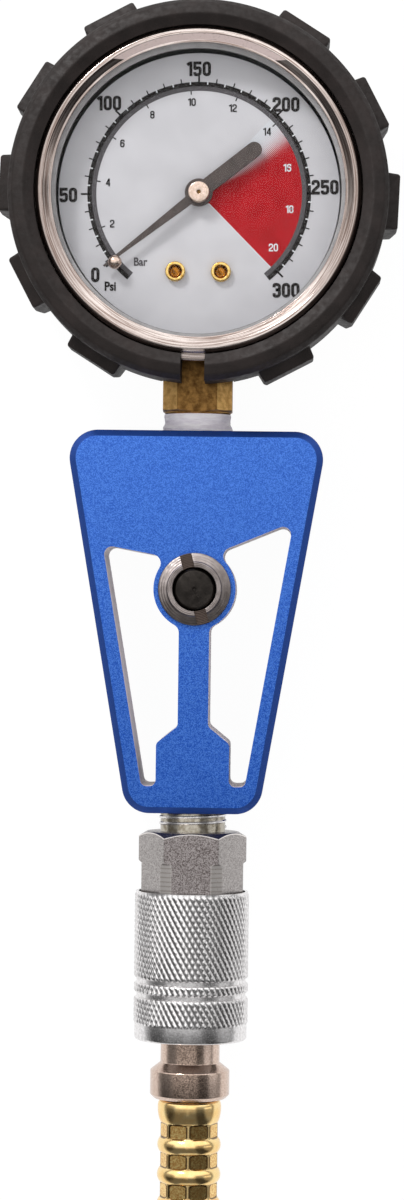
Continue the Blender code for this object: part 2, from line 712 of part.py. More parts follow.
def bezel_ring(looks):
    rim = BEZEL_RIM_RADIUS
    profile = [(BEZEL_INNER_RADIUS, BEZEL_LIP_Z),
               (BEZEL_INNER_RADIUS, BEZEL_TOP_Z - BEZEL_EDGE),
               (BEZEL_INNER_RADIUS + BEZEL_EDGE, BEZEL_TOP_Z),
               (rim - BEZEL_ROLL, BEZEL_TOP_Z),
               (rim - BEZEL_ROLL / 4, BEZEL_TOP_Z - BEZEL_ROLL / 3),
               (rim, BEZEL_TOP_Z - BEZEL_ROLL),
               (rim, BEZEL_SHOULDER_Z),
               (BEZEL_FLANGE_RADIUS, BEZEL_SHOULDER_Z),
               (BEZEL_FLANGE_RADIUS, BEZEL_BOTTOM_Z),
               (CASE_RADIUS + FIT, BEZEL_BOTTOM_Z),
               (CASE_RADIUS + FIT, BEZEL_BOTTOM_Z + BEZEL_WALL),
               (BEZEL_FLANGE_RADIUS - BEZEL_WALL, BEZEL_BOTTOM_Z + BEZEL_WALL),
               (BEZEL_FLANGE_RADIUS - BEZEL_WALL, BEZEL_SHOULDER_Z - BEZEL_WALL),
               (rim - BEZEL_WALL, BEZEL_SHOULDER_Z - BEZEL_WALL),
               (rim - BEZEL_WALL, BEZEL_LIP_Z)]
    as_object("bezel_ring", turned(profile, LARGE_ROUND), looks["chrome"], (0, GAUGE_Y, 0))


def lens_and_gasket(looks):
    edge = BEZEL_RIM_RADIUS - BEZEL_WALL - FIT
    as_object("lens", rod(edge, LENS_Z, LENS_TOP_Z, MEDIUM_ROUND), looks["lens"], (0, GAUGE_Y, 0))
    top = GASKET_Z + GASKET_THICKNESS
    ring = [(GASKET_INNER_RADIUS, GASKET_Z), (edge, GASKET_Z), (edge, top), (GASKET_INNER_RADIUS, top)]
    as_object("lens_gasket", turned(ring, MEDIUM_ROUND), looks["gasket"], (0, GAUGE_Y, 0))


def dial(looks):
    ring = [(DIAL_HOLE_RADIUS, DIAL_BACK_Z), (DIAL_RADIUS, DIAL_BACK_Z), (DIAL_RADIUS, DIAL_Z),
            (DIAL_HOLE_RADIUS, DIAL_Z)]
    plate = as_object("dial_plate", turned(ring, MEDIUM_ROUND), looks["dial"], (0, GAUGE_Y, 0))
    for number, x in enumerate((-DIAL_SCREW_X, DIAL_SCREW_X), 1):
        hole = rod(DIAL_SCREW_RADIUS + FIT, DIAL_BACK_Z - PAST, DIAL_Z + PAST, TINY_ROUND)
        cut(plate, helper(f"dial_screw_hole_{number}", hole, (x, GAUGE_Y + DIAL_SCREW_Y, 0)))
        dial_screw(number, x, looks)
        dial_post(number, x, looks)
    pin = polar(STOP_PIN_DISTANCE, STOP_PIN_ANGLE)
    hole = rod(STOP_PIN_RADIUS + FIT, DIAL_BACK_Z - PAST, DIAL_Z + PAST, TINY_ROUND)
    cut(plate, helper("stop_pin_hole", hole, (pin[0], GAUGE_Y + pin[1], 0)))


def dial_screw(number, x, looks):
    low = DIAL_Z + FIT
    top = low + DIAL_SCREW_HEAD
    end = DIAL_BACK_Z - DIAL_SCREW_LENGTH
    profile = [(0, end), (DIAL_SCREW_RADIUS, end), (DIAL_SCREW_RADIUS, low), (DIAL_SCREW_HEAD_RADIUS, low),
               (DIAL_SCREW_HEAD_RADIUS, top - EDGE), (DIAL_SCREW_HEAD_RADIUS - EDGE, top),
               (DIAL_SCREW_DISH_RADIUS, top), (DIAL_SCREW_DISH_RADIUS - EDGE, top - DIAL_SCREW_DISH),
               (0, top - DIAL_SCREW_DISH)]
    as_object(f"dial_screw_{number}", turned(profile, PIN_ROUND), looks["bright_brass"],
              (x, GAUGE_Y + DIAL_SCREW_Y, 0))


def dial_post(number, x, looks):
    """Hollow post that a dial screw goes into; its stud holds the back plate on the stem."""
    top = DIAL_BACK_Z - FIT
    low = PLATE_GAP_Z + FIT
    hole = DIAL_SCREW_RADIUS + FIT
    hole_end = DIAL_BACK_Z - DIAL_SCREW_LENGTH - FIT
    stud_end = SEAT_Z - POST_STUD_LENGTH
    profile = [(0, stud_end), (POST_STUD_RADIUS, stud_end), (POST_STUD_RADIUS, low), (POST_RADIUS, low),
               (POST_RADIUS, top), (hole, top), (hole, hole_end), (0, hole_end)]
    as_object(f"dial_post_{number}", turned(profile, TINY_ROUND), looks["brass"],
              (x, GAUGE_Y + DIAL_SCREW_Y, 0))


def stop_pin(looks):
    place = polar(STOP_PIN_DISTANCE, STOP_PIN_ANGLE)
    neck = POINTER_Z + POINTER_THICKNESS + FIT
    profile = [(0, DIAL_BACK_Z), (STOP_PIN_RADIUS, DIAL_BACK_Z), (STOP_PIN_RADIUS, neck),
               (STOP_PIN_HEAD_RADIUS, neck)]
    for across, up in arc((0, 0), 1, 0, math.pi / 2, STOP_PIN_HEAD_STEPS)[1:-1]:
        profile.append((STOP_PIN_HEAD_RADIUS * across, neck + STOP_PIN_HEAD * up))
    profile.append((0, neck + STOP_PIN_HEAD))
    as_object("stop_pin", turned(profile, PIN_ROUND), looks["nickel"], (place[0], GAUGE_Y + place[1], 0))


def pointer(looks):
    """Flat needle that points along +X before it is turned to its rest angle."""
    boss = POINTER_BOSS_RADIUS
    tip = POINTER_TIP_WIDTH / 2
    root = POINTER_ROOT_WIDTH / 2
    tail = POINTER_TAIL_WIDTH / 2
    outline = [(POINTER_TIP, -tip), (POINTER_TIP, tip)]
    outline += arc((0, 0), boss, math.asin(root / boss), math.pi - math.asin(tail / boss), 5)
    outline += arc((tail - POINTER_TAIL, 0), tail, math.pi / 2, math.pi * 1.5, 6)
    outline += arc((0, 0), boss, math.pi + math.asin(tail / boss), 2 * math.pi - math.asin(root / boss), 5)
    needle = as_object("pointer", extruded(outline, POINTER_Z, POINTER_Z + POINTER_THICKNESS),
                       looks["pointer"], (0, GAUGE_Y, 0), (0, 0, POINTER_REST))
    eye = rod(HUB_BARREL_RADIUS + FIT, POINTER_Z - PAST, HUB_Z + PAST, TINY_ROUND)
    cut(needle, helper("pointer_eye", eye, (0, GAUGE_Y, 0)))


def pointer_hub(looks):
    bore = ARBOR_RADIUS + FIT
    barrel = POINTER_Z - HUB_BARREL_BELOW
    top = HUB_Z + HUB_HEIGHT
    profile = [(bore, barrel), (HUB_BARREL_RADIUS, barrel), (HUB_BARREL_RADIUS, HUB_Z), (HUB_RADIUS, HUB_Z),
               (HUB_RADIUS, top - EDGE), (HUB_RADIUS - EDGE, top), (HUB_EYE_RADIUS, top),
               (HUB_EYE_RADIUS, top - EDGE), (bore, top - EDGE)]
    as_object("pointer_hub", turned(profile, PIN_ROUND), looks["nickel"], (0, GAUGE_Y, 0))


def pinion_arbor(looks):
    """Shaft of the pointer, with its pinion in mesh and the collet of the hairspring."""
    end = HUB_Z + HUB_HEIGHT - EDGE - FIT
    collet = PLATE_GAP_Z + FIT
    pivot = BACK_PLATE_Z - ARBOR_BELOW_PLATE
    profile = [(0, pivot), (ARBOR_RADIUS, pivot), (ARBOR_RADIUS, collet),
               (COLLET_RADIUS, collet), (COLLET_RADIUS, collet + COLLET_HEIGHT),
               (ARBOR_RADIUS, collet + COLLET_HEIGHT), (ARBOR_RADIUS, end), (0, end)]
    shaft = as_object("pinion_arbor", turned(profile, TINY_ROUND), looks["brass"], (0, GAUGE_Y, 0))
    outline = []
    for number in range(PINION_TEETH):
        outline += tooth(PINION_RADIUS, SECTOR_DIRECTION + number * 2 * math.pi / PINION_TEETH)
    gear = extruded(outline, PINION_Z, PINION_Z + PINION_THICKNESS)
    join(shaft, helper("pinion_teeth", gear, (0, GAUGE_Y, 0)))


def sector_gear(looks):
    """Toothed sector about its own arbor, at the start of its travel, with the tail that the link pulls."""
    facing = SECTOR_DIRECTION + math.pi
    pitch = 2 * math.pi / (PINION_TEETH * SECTOR_RATIO)
    first = facing + (SECTOR_LEAD + 0.5) * pitch
    middles = [first - number * pitch for number in range(SECTOR_TEETH)]
    rim = SECTOR_RADIUS - SECTOR_RIM
    high = middles[0] + pitch / 2
    low = middles[-1] - pitch / 2
    centre = (high + low) / 2
    reach = math.asin(SECTOR_ARM_WIDTH / 2 / rim)
    grip = math.asin(SECTOR_ARM_WIDTH / 2 / SECTOR_HUB_RADIUS)
    neck = math.asin(TAIL_WIDTH / 2 / SECTOR_HUB_RADIUS)
    outline = []
    for middle in reversed(middles):
        outline += tooth(SECTOR_RADIUS, middle)
    outline += arc((0, 0), rim, high, centre + reach, 3)
    outline += arc((0, 0), SECTOR_HUB_RADIUS, centre + grip, 2 * math.pi + TAIL_ANGLE - neck, 5)
    end = polar(TAIL_LENGTH, TAIL_ANGLE)
    outline += arc(end, TAIL_WIDTH / 2, TAIL_ANGLE - math.pi / 2, TAIL_ANGLE + math.pi / 2, 5)
    outline += arc((0, 0), SECTOR_HUB_RADIUS, TAIL_ANGLE + neck, centre - grip, 5)
    outline += arc((0, 0), rim, centre - reach, low, 3)
    place = (SECTOR_X, GAUGE_Y + SECTOR_Y, 0)
    sector = as_object("sector_gear", extruded(outline, SECTOR_Z, SECTOR_Z + SECTOR_THICKNESS),
                       looks["brass"], place)
    hole = rod(SECTOR_ARBOR_RADIUS + FIT, SECTOR_Z - PAST, LINK_Z + PAST, TINY_ROUND)
    cut(sector, helper("sector_hole", hole, place))
    pin = rod(LINK_PIN_RADIUS, SECTOR_Z + SECTOR_THICKNESS / 2, LINK_Z + LINK_THICKNESS + FIT, TINY_ROUND)
    join(sector, helper("tail_pin", pin, (TAIL_X, GAUGE_Y + TAIL_Y, 0)))
    arbor = rod(SECTOR_ARBOR_RADIUS, BACK_PLATE_Z, FRONT_PLATE_Z + PLATE_THICKNESS, TINY_ROUND)
    as_object("sector_arbor", arbor, looks["brass"], place)


def link(looks):
    """Link from the sector's tail to the tip of the tube, about the tail's pin."""
    end = (TIP_X - TAIL_X, TIP_Y - TAIL_Y)
    outline = hull([(0, 0, LINK_WIDTH / 2), (*end, LINK_WIDTH / 2)], TINY_ROUND)
    place = (TAIL_X, GAUGE_Y + TAIL_Y, 0)
    bar = as_object("link", extruded(outline, LINK_Z, LINK_Z + LINK_THICKNESS), looks["brass"], place)
    for name, (x, y) in (("link_tail_hole", (0, 0)), ("link_tip_hole", end)):
        hole = rod(LINK_PIN_RADIUS + FIT, LINK_Z - PAST, LINK_Z + LINK_THICKNESS + PAST, TINY_ROUND)
        cut(bar, helper(name, hole, (place[0] + x, place[1] + y, 0)))


def tube_frames(first, last, steps):
    """Frames along the bent tube between two angles."""
    path = []
    for step in range(steps + 1):
        angle = first + (last - first) * step / steps
        outward = Vector((math.cos(angle), math.sin(angle), 0))
        path.append((outward * TUBE_RADIUS + Vector((0, 0, AXIS_Z)), outward, Vector((0, 0, 1))))
    return path


def flat_section(thickness, height):
    """Flattened tube section with rounded ends."""
    half = thickness / 2
    straight = height / 2 - half
    return arc((0, straight), half, 0, math.pi, 3) + arc((0, -straight), half, math.pi, 2 * math.pi, 3)


def bourdon_tube(looks):
    path = tube_frames(TUBE_ROOT_ANGLE, TUBE_END_ANGLE, TUBE_STEPS)
    outer = flat_section(TUBE_THICKNESS, TUBE_HEIGHT)
    inner = flat_section(TUBE_THICKNESS - 2 * TUBE_WALL, TUBE_HEIGHT - 2 * TUBE_WALL)
    loops = []
    for frames, section in ((path, outer), (list(reversed(path)), inner)):
        for place, outward, upward in frames:
            loops.append([place + outward * across + upward * up for across, up in section])
    as_object("bourdon_tube", loft(loops, closed=True), looks["bright_brass"], (0, GAUGE_Y, 0))


def tube_tip(looks):
    """Closed end of the tube with the link's pin, about the pivot that it turns on."""
    half_width = TIP_WIDTH / 2
    half_length = TIP_LENGTH / 2
    low = AXIS_Z - TUBE_HEIGHT / 2
    high = min(AXIS_Z + TUBE_HEIGHT / 2, LINK_Z - FIT)
    block = box(-half_width, half_width, -half_length, half_length, low, high)
    move = Matrix.Translation((TIP_X - TIP_PIVOT_X, TIP_Y - TIP_PIVOT_Y, 0))
    turn = Matrix.Rotation(TIP_ANGLE, 4, "Z")
    bmesh.ops.transform(block, matrix=move @ turn, verts=block.verts)
    tip = as_object("tube_tip", block, looks["brass"], (TIP_PIVOT_X, GAUGE_Y + TIP_PIVOT_Y, 0))
    pin = rod(LINK_PIN_RADIUS, high - PAST, LINK_Z + LINK_THICKNESS + FIT, TINY_ROUND)
    join(tip, helper("tip_pin", pin, (TIP_X, GAUGE_Y + TIP_Y, 0)))


def hairspring(looks):
    """Flat spiral from just outside the collet to just inside its stud."""
    inner = COLLET_RADIUS + FIT + HAIRSPRING_STRIP / 2
    low = PLATE_GAP_Z + 2 * FIT
    steps = HAIRSPRING_TURNS * HAIRSPRING_STEPS
    path = []
    for step in range(steps + 1):
        angle = step * 2 * math.pi / HAIRSPRING_STEPS
        radius = inner + (HAIRSPRING_OUTER - inner) * step / steps
        outward = Vector((math.cos(angle), math.sin(angle), 0))
        path.append((outward * radius + Vector((0, 0, low)), outward, Vector((0, 0, 1))))
    half = HAIRSPRING_STRIP / 2
    strip = [(-half, 0), (half, 0), (half, HAIRSPRING_HEIGHT), (-half, HAIRSPRING_HEIGHT)]
    as_object("hairspring", swept(path, strip), looks["spring"], (0, GAUGE_Y, 0))


def movement_frame(looks):
    """Two plates with their pillars and the stud of the hairspring."""
    margins = [(0, 0, PLATE_CENTRE_MARGIN), (SECTOR_X, SECTOR_Y, PLATE_MARGIN)]
    margins += [(x, y, PLATE_MARGIN) for x, y in PILLAR_PLACES]
    seat_x = SEAT_WIDTH / 2 - POST_RADIUS
    seat_y = POST_RADIUS + FIT - SEAT_FAR
    seat = [(-seat_x, seat_y, POST_RADIUS), (seat_x, seat_y, POST_RADIUS)]
    for name, circles, low in (("back_plate", margins + seat, BACK_PLATE_Z),
                               ("front_plate", margins, FRONT_PLATE_Z)):
        plate = as_object(name, extruded(hull(circles), low, low + PLATE_THICKNESS), looks["brass"],
                          (0, GAUGE_Y, 0))
        holes = [("arbor", (0, 0), ARBOR_RADIUS), ("sector", (SECTOR_X, SECTOR_Y), SECTOR_ARBOR_RADIUS)]
        if name == "back_plate":
            holes += [("post_1", (-DIAL_SCREW_X, DIAL_SCREW_Y), POST_STUD_RADIUS),
                      ("post_2", (DIAL_SCREW_X, DIAL_SCREW_Y), POST_STUD_RADIUS)]
        for purpose, (x, y), radius in holes:
            hole = rod(radius + FIT, low - PAST, low + PLATE_THICKNESS + PAST, TINY_ROUND)
            cut(plate, helper(f"{name}_{purpose}_hole", hole, (x, GAUGE_Y + y, 0)))
        if name == "back_plate":
            stud_top = PLATE_GAP_Z + 2 * FIT + HAIRSPRING_HEIGHT
            stud = rod(STUD_RADIUS, low + PLATE_THICKNESS / 2, stud_top, TINY_ROUND)
            reach = HAIRSPRING_OUTER + HAIRSPRING_STRIP / 2 + FIT + STUD_RADIUS
            join(plate, helper("hairspring_stud", stud, (reach, GAUGE_Y, 0)))
    for number, (x, y) in enumerate(PILLAR_PLACES, 1):
        pillar = rod(PILLAR_RADIUS, PLATE_GAP_Z + FIT, FRONT_PLATE_Z - FIT, TINY_ROUND)
        as_object(f"plate_pillar_{number}", pillar, looks["brass"], (x, GAUGE_Y + y, 0))


def along_y(x_half, z_low, z_high, y_low, y_high, chamfer):
    """A bar along Y whose four long edges are chamfered."""
    outline = [(x_half - chamfer, z_low), (x_half, z_low + chamfer), (x_half, z_high - chamfer),
               (x_half - chamfer, z_high), (chamfer - x_half, z_high), (-x_half, z_high - chamfer),
               (-x_half, z_low + chamfer), (chamfer - x_half, z_low)]
    return loft([[(x, y_low, z) for x, z in outline], [(x, y_high, z) for x, z in outline]])


def socket_stem(looks):
    """Stem and seat of the movement, in one piece of brass."""
    half = STEM_WIDTH / 2
    square_end = -(GAUGE_TO_BLOCK - STEM_TO_BLOCK)
    bar = along_y(half, AXIS_Z - half, AXIS_Z + half, square_end, -SEAT_FAR, STEM_CHAMFER)
    stem = as_object("socket_stem", bar, looks["brass"], (0, GAUGE_Y, 0))
    seat_half = SEAT_WIDTH / 2
    seat = box(-seat_half, seat_half, -SEAT_FAR - PAST, -SEAT_NEAR, AXIS_Z - half, SEAT_Z)
    join(stem, helper("movement_seat", seat, (0, GAUGE_Y, 0)))
    thread_end = GAUGE_Y + square_end - STEM_THREAD_LENGTH
    lay = (math.pi / 2, 0, 0)
    thread = rod(STEM_THREAD_RADIUS, -PAST, STEM_THREAD_LENGTH)
    join(stem, helper("stem_thread", thread, (0, GAUGE_Y + square_end, AXIS_Z), lay))
    bore_length = GAUGE_Y - TUBE_RADIUS - thread_end
    bore = rod(STEM_BORE_RADIUS, -bore_length, PAST, TINY_ROUND)
    cut(stem, helper("stem_bore", bore, (0, thread_end, AXIS_Z), lay))
    slot = swept(tube_frames(TUBE_ROOT_ANGLE + FIT / TUBE_RADIUS, TUBE_SLOT_ANGLE, TUBE_SLOT_STEPS),
                 flat_section(TUBE_THICKNESS + 2 * FIT, TUBE_HEIGHT + 2 * FIT))
    cut(stem, helper("tube_slot", slot, (0, GAUGE_Y, 0)))
    for number, x in enumerate((-DIAL_SCREW_X, DIAL_SCREW_X), 1):
        hole = rod(POST_STUD_RADIUS + FIT, SEAT_Z - POST_STUD_LENGTH - FIT, SEAT_Z + PAST, TINY_ROUND)
        cut(stem, helper(f"post_stud_hole_{number}", hole, (x, GAUGE_Y + DIAL_SCREW_Y, 0)))


def thread_tape(looks):
    inner = STEM_THREAD_RADIUS + FIT
    outer = inner + TAPE_THICKNESS
    profile = [(inner, FIT), (outer, FIT), (outer, FIT + TAPE_LENGTH), (inner, FIT + TAPE_LENGTH)]
    as_object("thread_tape", turned(profile, SMALL_ROUND), looks["tape"],
              (0, BLOCK_TOP_Y + STEM_TO_BLOCK, AXIS_Z), (math.pi / 2, 0, 0))


def block_half_width(depth):
    """Half the block's width at a depth below its top face, before the corners are rounded."""
    return BLOCK_TOP_HALF_WIDTH - BLOCK_TAPER * depth


def block_outline(inset):
    """Rounded taper, moved inwards by the inset."""
    slant = math.atan(BLOCK_TAPER)
    shift = inset / math.cos(slant)
    top = block_half_width(inset) - shift
    bottom = block_half_width(BLOCK_LENGTH - inset) - shift
    high = BLOCK_TOP_Y - inset
    low = BLOCK_BOTTOM_Y + inset
    upper = BLOCK_TOP_CORNER - inset
    lower = BLOCK_BOTTOM_CORNER - inset
    corners = [(-top, high, upper), (-bottom, low, lower), (bottom, low, lower), (top, high, upper)]
    return rounded(corners, BLOCK_CORNER_STEPS)


def boss_fillet(point, direction, normal, side):
    """Centre of the fillet between a straight edge and the round boss, at one of its two crossings."""
    boss = Vector((0, BOSS_Y))
    start = Vector(point) + Vector(normal) * BOSS_FILLET - boss
    along = Vector(direction)
    half = start.dot(along)
    rest = start.dot(start) - (BOSS_RADIUS + BOSS_FILLET) ** 2
    return boss + start + along * (-half + side * math.sqrt(half * half - rest))


def window_outline(side, wall, top_depth, top_slope):
    """One window between the side wall, the boss, the strut and the pad; side is 1 right, -1 left."""
    strut = STRUT_WIDTH / 2
    pad = PAD_WIDTH / 2
    slope = (math.cos(top_slope), math.sin(top_slope))
    outer_top = (block_half_width(top_depth) - wall, BLOCK_TOP_Y - top_depth)
    bottom = BLOCK_BOTTOM_Y + WINDOW_BOTTOM_BAR
    outer_bottom = block_half_width(BLOCK_LENGTH - WINDOW_BOTTOM_BAR) - wall
    pad_top = BLOCK_BOTTOM_Y + PAD_HEIGHT
    foot_corner = min(PAD_FOOT_CORNER, (outer_bottom - pad) * FOOT_CORNER_SHARE)
    low = boss_fillet((strut, BOSS_Y), (0, -1), (1, 0), 1)
    high = boss_fillet(outer_top, (-slope[0], -slope[1]), (slope[1], -slope[0]), -1)
    to_low = math.atan2(low[1] - BOSS_Y, low[0])
    to_high = math.atan2(high[1] - BOSS_Y, high[0])
    edge_angle = math.pi / 2 + top_slope
    curve = arc(low, BOSS_FILLET, math.pi, to_low + math.pi, BOSS_FILLET_STEPS)
    curve += arc((0, BOSS_Y), BOSS_RADIUS, to_low, to_high, BOSS_STEPS)[1:-1]
    curve += arc(high, BOSS_FILLET, to_high + math.pi, edge_angle, BOSS_FILLET_STEPS)
    corners = [(*point, 0) for point in curve]
    corners.append((*outer_top, WINDOW_CORNER))
    corners.append((outer_bottom, bottom, foot_corner))
    corners.append((pad, bottom, foot_corner))
    corners.append((pad, pad_top - PAD_SHOULDER, PAD_CORNER))
    corners.append((strut, pad_top, PAD_CORNER))
    return [(side * x, y) for x, y in rounded(corners)]


def gauge_block(looks):
    """Machined block with its two windows, the ports at both ends and the bore of the valve."""
    full = block_outline(0)
    small = block_outline(BLOCK_CHAMFER)
    levels = [(small, BLOCK_BACK_Z), (full, BLOCK_BACK_Z + BLOCK_CHAMFER),
              (full, BLOCK_FRONT_Z - BLOCK_CHAMFER), (small, BLOCK_FRONT_Z)]
    loops = [[(x, y, height) for x, y in outline] for outline, height in levels]
    block = as_object("gauge_block", loft(loops), looks["blue"])
    low = BLOCK_BACK_Z - PAST
    high = BLOCK_FRONT_Z + PAST
    left = window_outline(-1, LEFT_WALL, WINDOW_LEFT_TOP, WINDOW_LEFT_SLOPE)
    right = window_outline(1, RIGHT_WALL, WINDOW_RIGHT_TOP, WINDOW_RIGHT_SLOPE)
    cut(block, helper("left_window", extruded(left, low, high)))
    cut(block, helper("right_window", extruded(right, low, high)))

    nut_end = BLOCK_FRONT_Z - NUT_THREAD_LENGTH - 2 * FIT
    chamber_end = BLOCK_FRONT_Z - CHAMBER_DEPTH
    guide_end = chamber_end - GUIDE_DEPTH
    valve_bore = [(0, guide_end), (GUIDE_RADIUS, guide_end), (GUIDE_RADIUS, chamber_end),
                  (BUTTON_FLANGE_RADIUS + FIT, chamber_end), (BUTTON_FLANGE_RADIUS + FIT, nut_end),
                  (NUT_THREAD_RADIUS + FIT, nut_end), (NUT_THREAD_RADIUS + FIT, high), (0, high)]
    cut(block, helper("valve_bore", turned(valve_bore, SMALL_ROUND), (0, BOSS_Y, 0)))

    lay = (math.pi / 2, 0, 0)
    top_port = STEM_THREAD_RADIUS + FIT + TAPE_THICKNESS + PORT_WALL_GAP
    port_depth = STEM_THREAD_LENGTH - STEM_TO_BLOCK + FIT
    to_chamber = BOSS_DEPTH - BUTTON_FLANGE_RADIUS / 2
    upper = [(0, -PAST), (top_port, -PAST), (top_port, port_depth), (PASSAGE_RADIUS, port_depth),
             (PASSAGE_RADIUS, to_chamber), (0, to_chamber)]
    cut(block, helper("gauge_port", turned(upper, SMALL_ROUND), (0, BLOCK_TOP_Y, AXIS_Z), lay))
    bottom_port = COUPLER_THREAD_RADIUS + PORT_WALL_GAP
    lower_depth = COUPLER_THREAD_LENGTH + FIT
    from_chamber = BLOCK_LENGTH - BOSS_DEPTH - BUTTON_FLANGE_RADIUS / 2
    lower = [(0, -from_chamber), (PASSAGE_RADIUS, -from_chamber), (PASSAGE_RADIUS, -lower_depth),
             (bottom_port, -lower_depth), (bottom_port, PAST), (0, PAST)]
    cut(block, helper("coupler_port", turned(lower, SMALL_ROUND), (0, BLOCK_BOTTOM_Y, AXIS_Z), lay))


def valve_nut(looks):
    low = BLOCK_FRONT_Z + FIT
    top = low + NUT_HEIGHT
    bore = BUTTON_RADIUS + FIT
    thread_end = BLOCK_FRONT_Z - NUT_THREAD_LENGTH
    profile = [(bore, thread_end), (NUT_THREAD_RADIUS, thread_end), (NUT_THREAD_RADIUS, low),
               (NUT_RADIUS, low), (NUT_RADIUS, low + NUT_RIM), (NUT_FACE_RADIUS, top), (bore, top)]
    nut = as_object("valve_nut", turned(profile, MEDIUM_ROUND), looks["nut"], (0, BOSS_Y, 0))
    reach = NUT_RADIUS + PAST
    half = NUT_SLOT_WIDTH / 2
    slot = box(-reach, reach, -half, half, top - NUT_SLOT_DEPTH, top + PAST)
    cut(nut, helper("nut_slot", slot, (0, BOSS_Y, 0), (0, 0, NUT_SLOT_TURN)))


def release_valve(looks):
    """Button with its stem, seal and spring; they move together along -Z."""
    place = (0, BOSS_Y, 0)
    top = BLOCK_FRONT_Z + FIT + NUT_HEIGHT - BUTTON_BELOW_NUT
    flange_top = BLOCK_FRONT_Z - NUT_THREAD_LENGTH - FIT
    flange = flange_top - BUTTON_FLANGE
    chamber_end = BLOCK_FRONT_Z - CHAMBER_DEPTH
    profile = [(0, flange), (BUTTON_FLANGE_RADIUS, flange), (BUTTON_FLANGE_RADIUS, flange_top),
               (BUTTON_RADIUS, flange_top), (BUTTON_RADIUS, top - BUTTON_EDGE),
               (BUTTON_RADIUS - BUTTON_EDGE, top), (0, top)]
    as_object("release_button", turned(profile, SMALL_ROUND), looks["button"], place)

    head = flange - FIT
    stem_end = chamber_end - GUIDE_DEPTH + BUTTON_TRAVEL + FIT
    groove = VALVE_STEM_RADIUS - SEAL_RING
    seal_low = stem_end + SEAL_RING
    seal_high = seal_low + 2 * SEAL_RING
    profile = [(0, stem_end), (VALVE_STEM_RADIUS, stem_end), (VALVE_STEM_RADIUS, seal_low - FIT),
               (groove, seal_low - FIT), (groove, seal_high + FIT), (VALVE_STEM_RADIUS, seal_high + FIT),
               (VALVE_STEM_RADIUS, head - VALVE_STEM_HEAD), (VALVE_STEM_HEAD_RADIUS, head - VALVE_STEM_HEAD),
               (VALVE_STEM_HEAD_RADIUS, head), (0, head)]
    as_object("valve_stem", turned(profile, TINY_ROUND), looks["zinc"], place)
    seal_middle = groove + FIT + SEAL_RING
    ring = circle(SEAL_RING, SEAL_SIDES, (seal_middle, seal_low + SEAL_RING))
    as_object("stem_seal", turned(ring, PIN_ROUND), looks["seal"], place)
    spring = coil(BUTTON_SPRING_RADIUS, BUTTON_SPRING_WIRE, chamber_end + FIT, head, BUTTON_SPRING_TURNS)
    as_object("button_spring", spring, looks["spring"], place)


def coupler_place():
    """Place and turn of everything that is turned about the tool's axis below the block."""
    return (0, BLOCK_BOTTOM_Y, AXIS_Z), (math.pi / 2, 0, 0)


def coupler_body(looks):
    """Hexagon and thread with the inner tube that takes the plug."""
    place, lay = coupler_place()
    snap_groove = BODY_TUBE_RADIUS - SNAP_GROOVE_DEPTH
    groove_end = SNAP_RING_START + SNAP_RING_THICKNESS + FIT
    flat = HEX_WIDTH / 2
    corner = flat / math.cos(math.pi / 6)
    blank = corner + FIT
    outside = 2 * corner
    profile = [(SUPPLY_BORE_RADIUS, -COUPLER_THREAD_LENGTH), (COUPLER_THREAD_RADIUS, -COUPLER_THREAD_LENGTH),
               (COUPLER_THREAD_RADIUS, NECK_LENGTH), (flat, NECK_LENGTH), (blank, NECK_LENGTH + HEX_CHAMFER),
               (blank, HEX_END - HEX_BACK_BEVEL), (HEX_TURNED_RADIUS, HEX_END + HEX_BACK_BEVEL),
               (HEX_TURNED_RADIUS, BODY_SHOULDER), (BODY_TUBE_RADIUS, BODY_SHOULDER),
               (BODY_TUBE_RADIUS, SNAP_RING_START - FIT), (snap_groove, SNAP_RING_START - FIT),
               (snap_groove, groove_end), (BODY_TUBE_RADIUS, groove_end), (BODY_TUBE_RADIUS, BODY_END),
               (BODY_BORE_RADIUS, BODY_END), (BODY_BORE_RADIUS, POPPET_CHAMBER_END),
               (POPPET_CHAMBER_RADIUS, POPPET_CHAMBER_END), (POPPET_CHAMBER_RADIUS, POPPET_CHAMBER_START),
               (SUPPLY_BORE_RADIUS, POPPET_CHAMBER_START)]
    body = as_object("coupler_body", turned(profile, COUPLER_ROUND), looks["zinc"], place, lay)
    loops = []
    for radius, height in ((corner, -FIT), (outside, -FIT), (outside, BODY_SHOULDER + FIT),
                           (corner, BODY_SHOULDER + FIT)):
        loops.append([(x, y, height) for x, y in circle(radius, 6)])
    cut(body, helper("hex_flats", loft(loops, closed=True), place, lay))
    for number in range(BALL_COUNT):
        hole = rod(BALL_RADIUS + FIT, BODY_BORE_RADIUS - PAST, BODY_TUBE_RADIUS + PAST, TINY_ROUND)
        turn = Matrix.Rotation(ball_angle(number), 4, "Z") @ Matrix.Rotation(math.pi / 2, 4, "Y")
        move = Matrix.Translation((0, 0, BALL_PLACE))
        bmesh.ops.transform(hole, matrix=move @ turn, verts=hole.verts)
        cut(body, helper(f"ball_hole_{number + 1}", hole, place, lay))


def ball_angle(number):
    return (number + 0.5) * 2 * math.pi / BALL_COUNT


def locking_balls(looks):
    for number in range(BALL_COUNT):
        angle = ball_angle(number)
        ball = bmesh.new()
        bmesh.ops.create_icosphere(ball, subdivisions=2, radius=BALL_RADIUS)
        x, z = polar(BALL_CIRCLE, angle)
        place = (x, BLOCK_BOTTOM_Y - BALL_PLACE, AXIS_Z + z)
        as_object(f"locking_ball_{number + 1}", ball, looks["spring"], place)


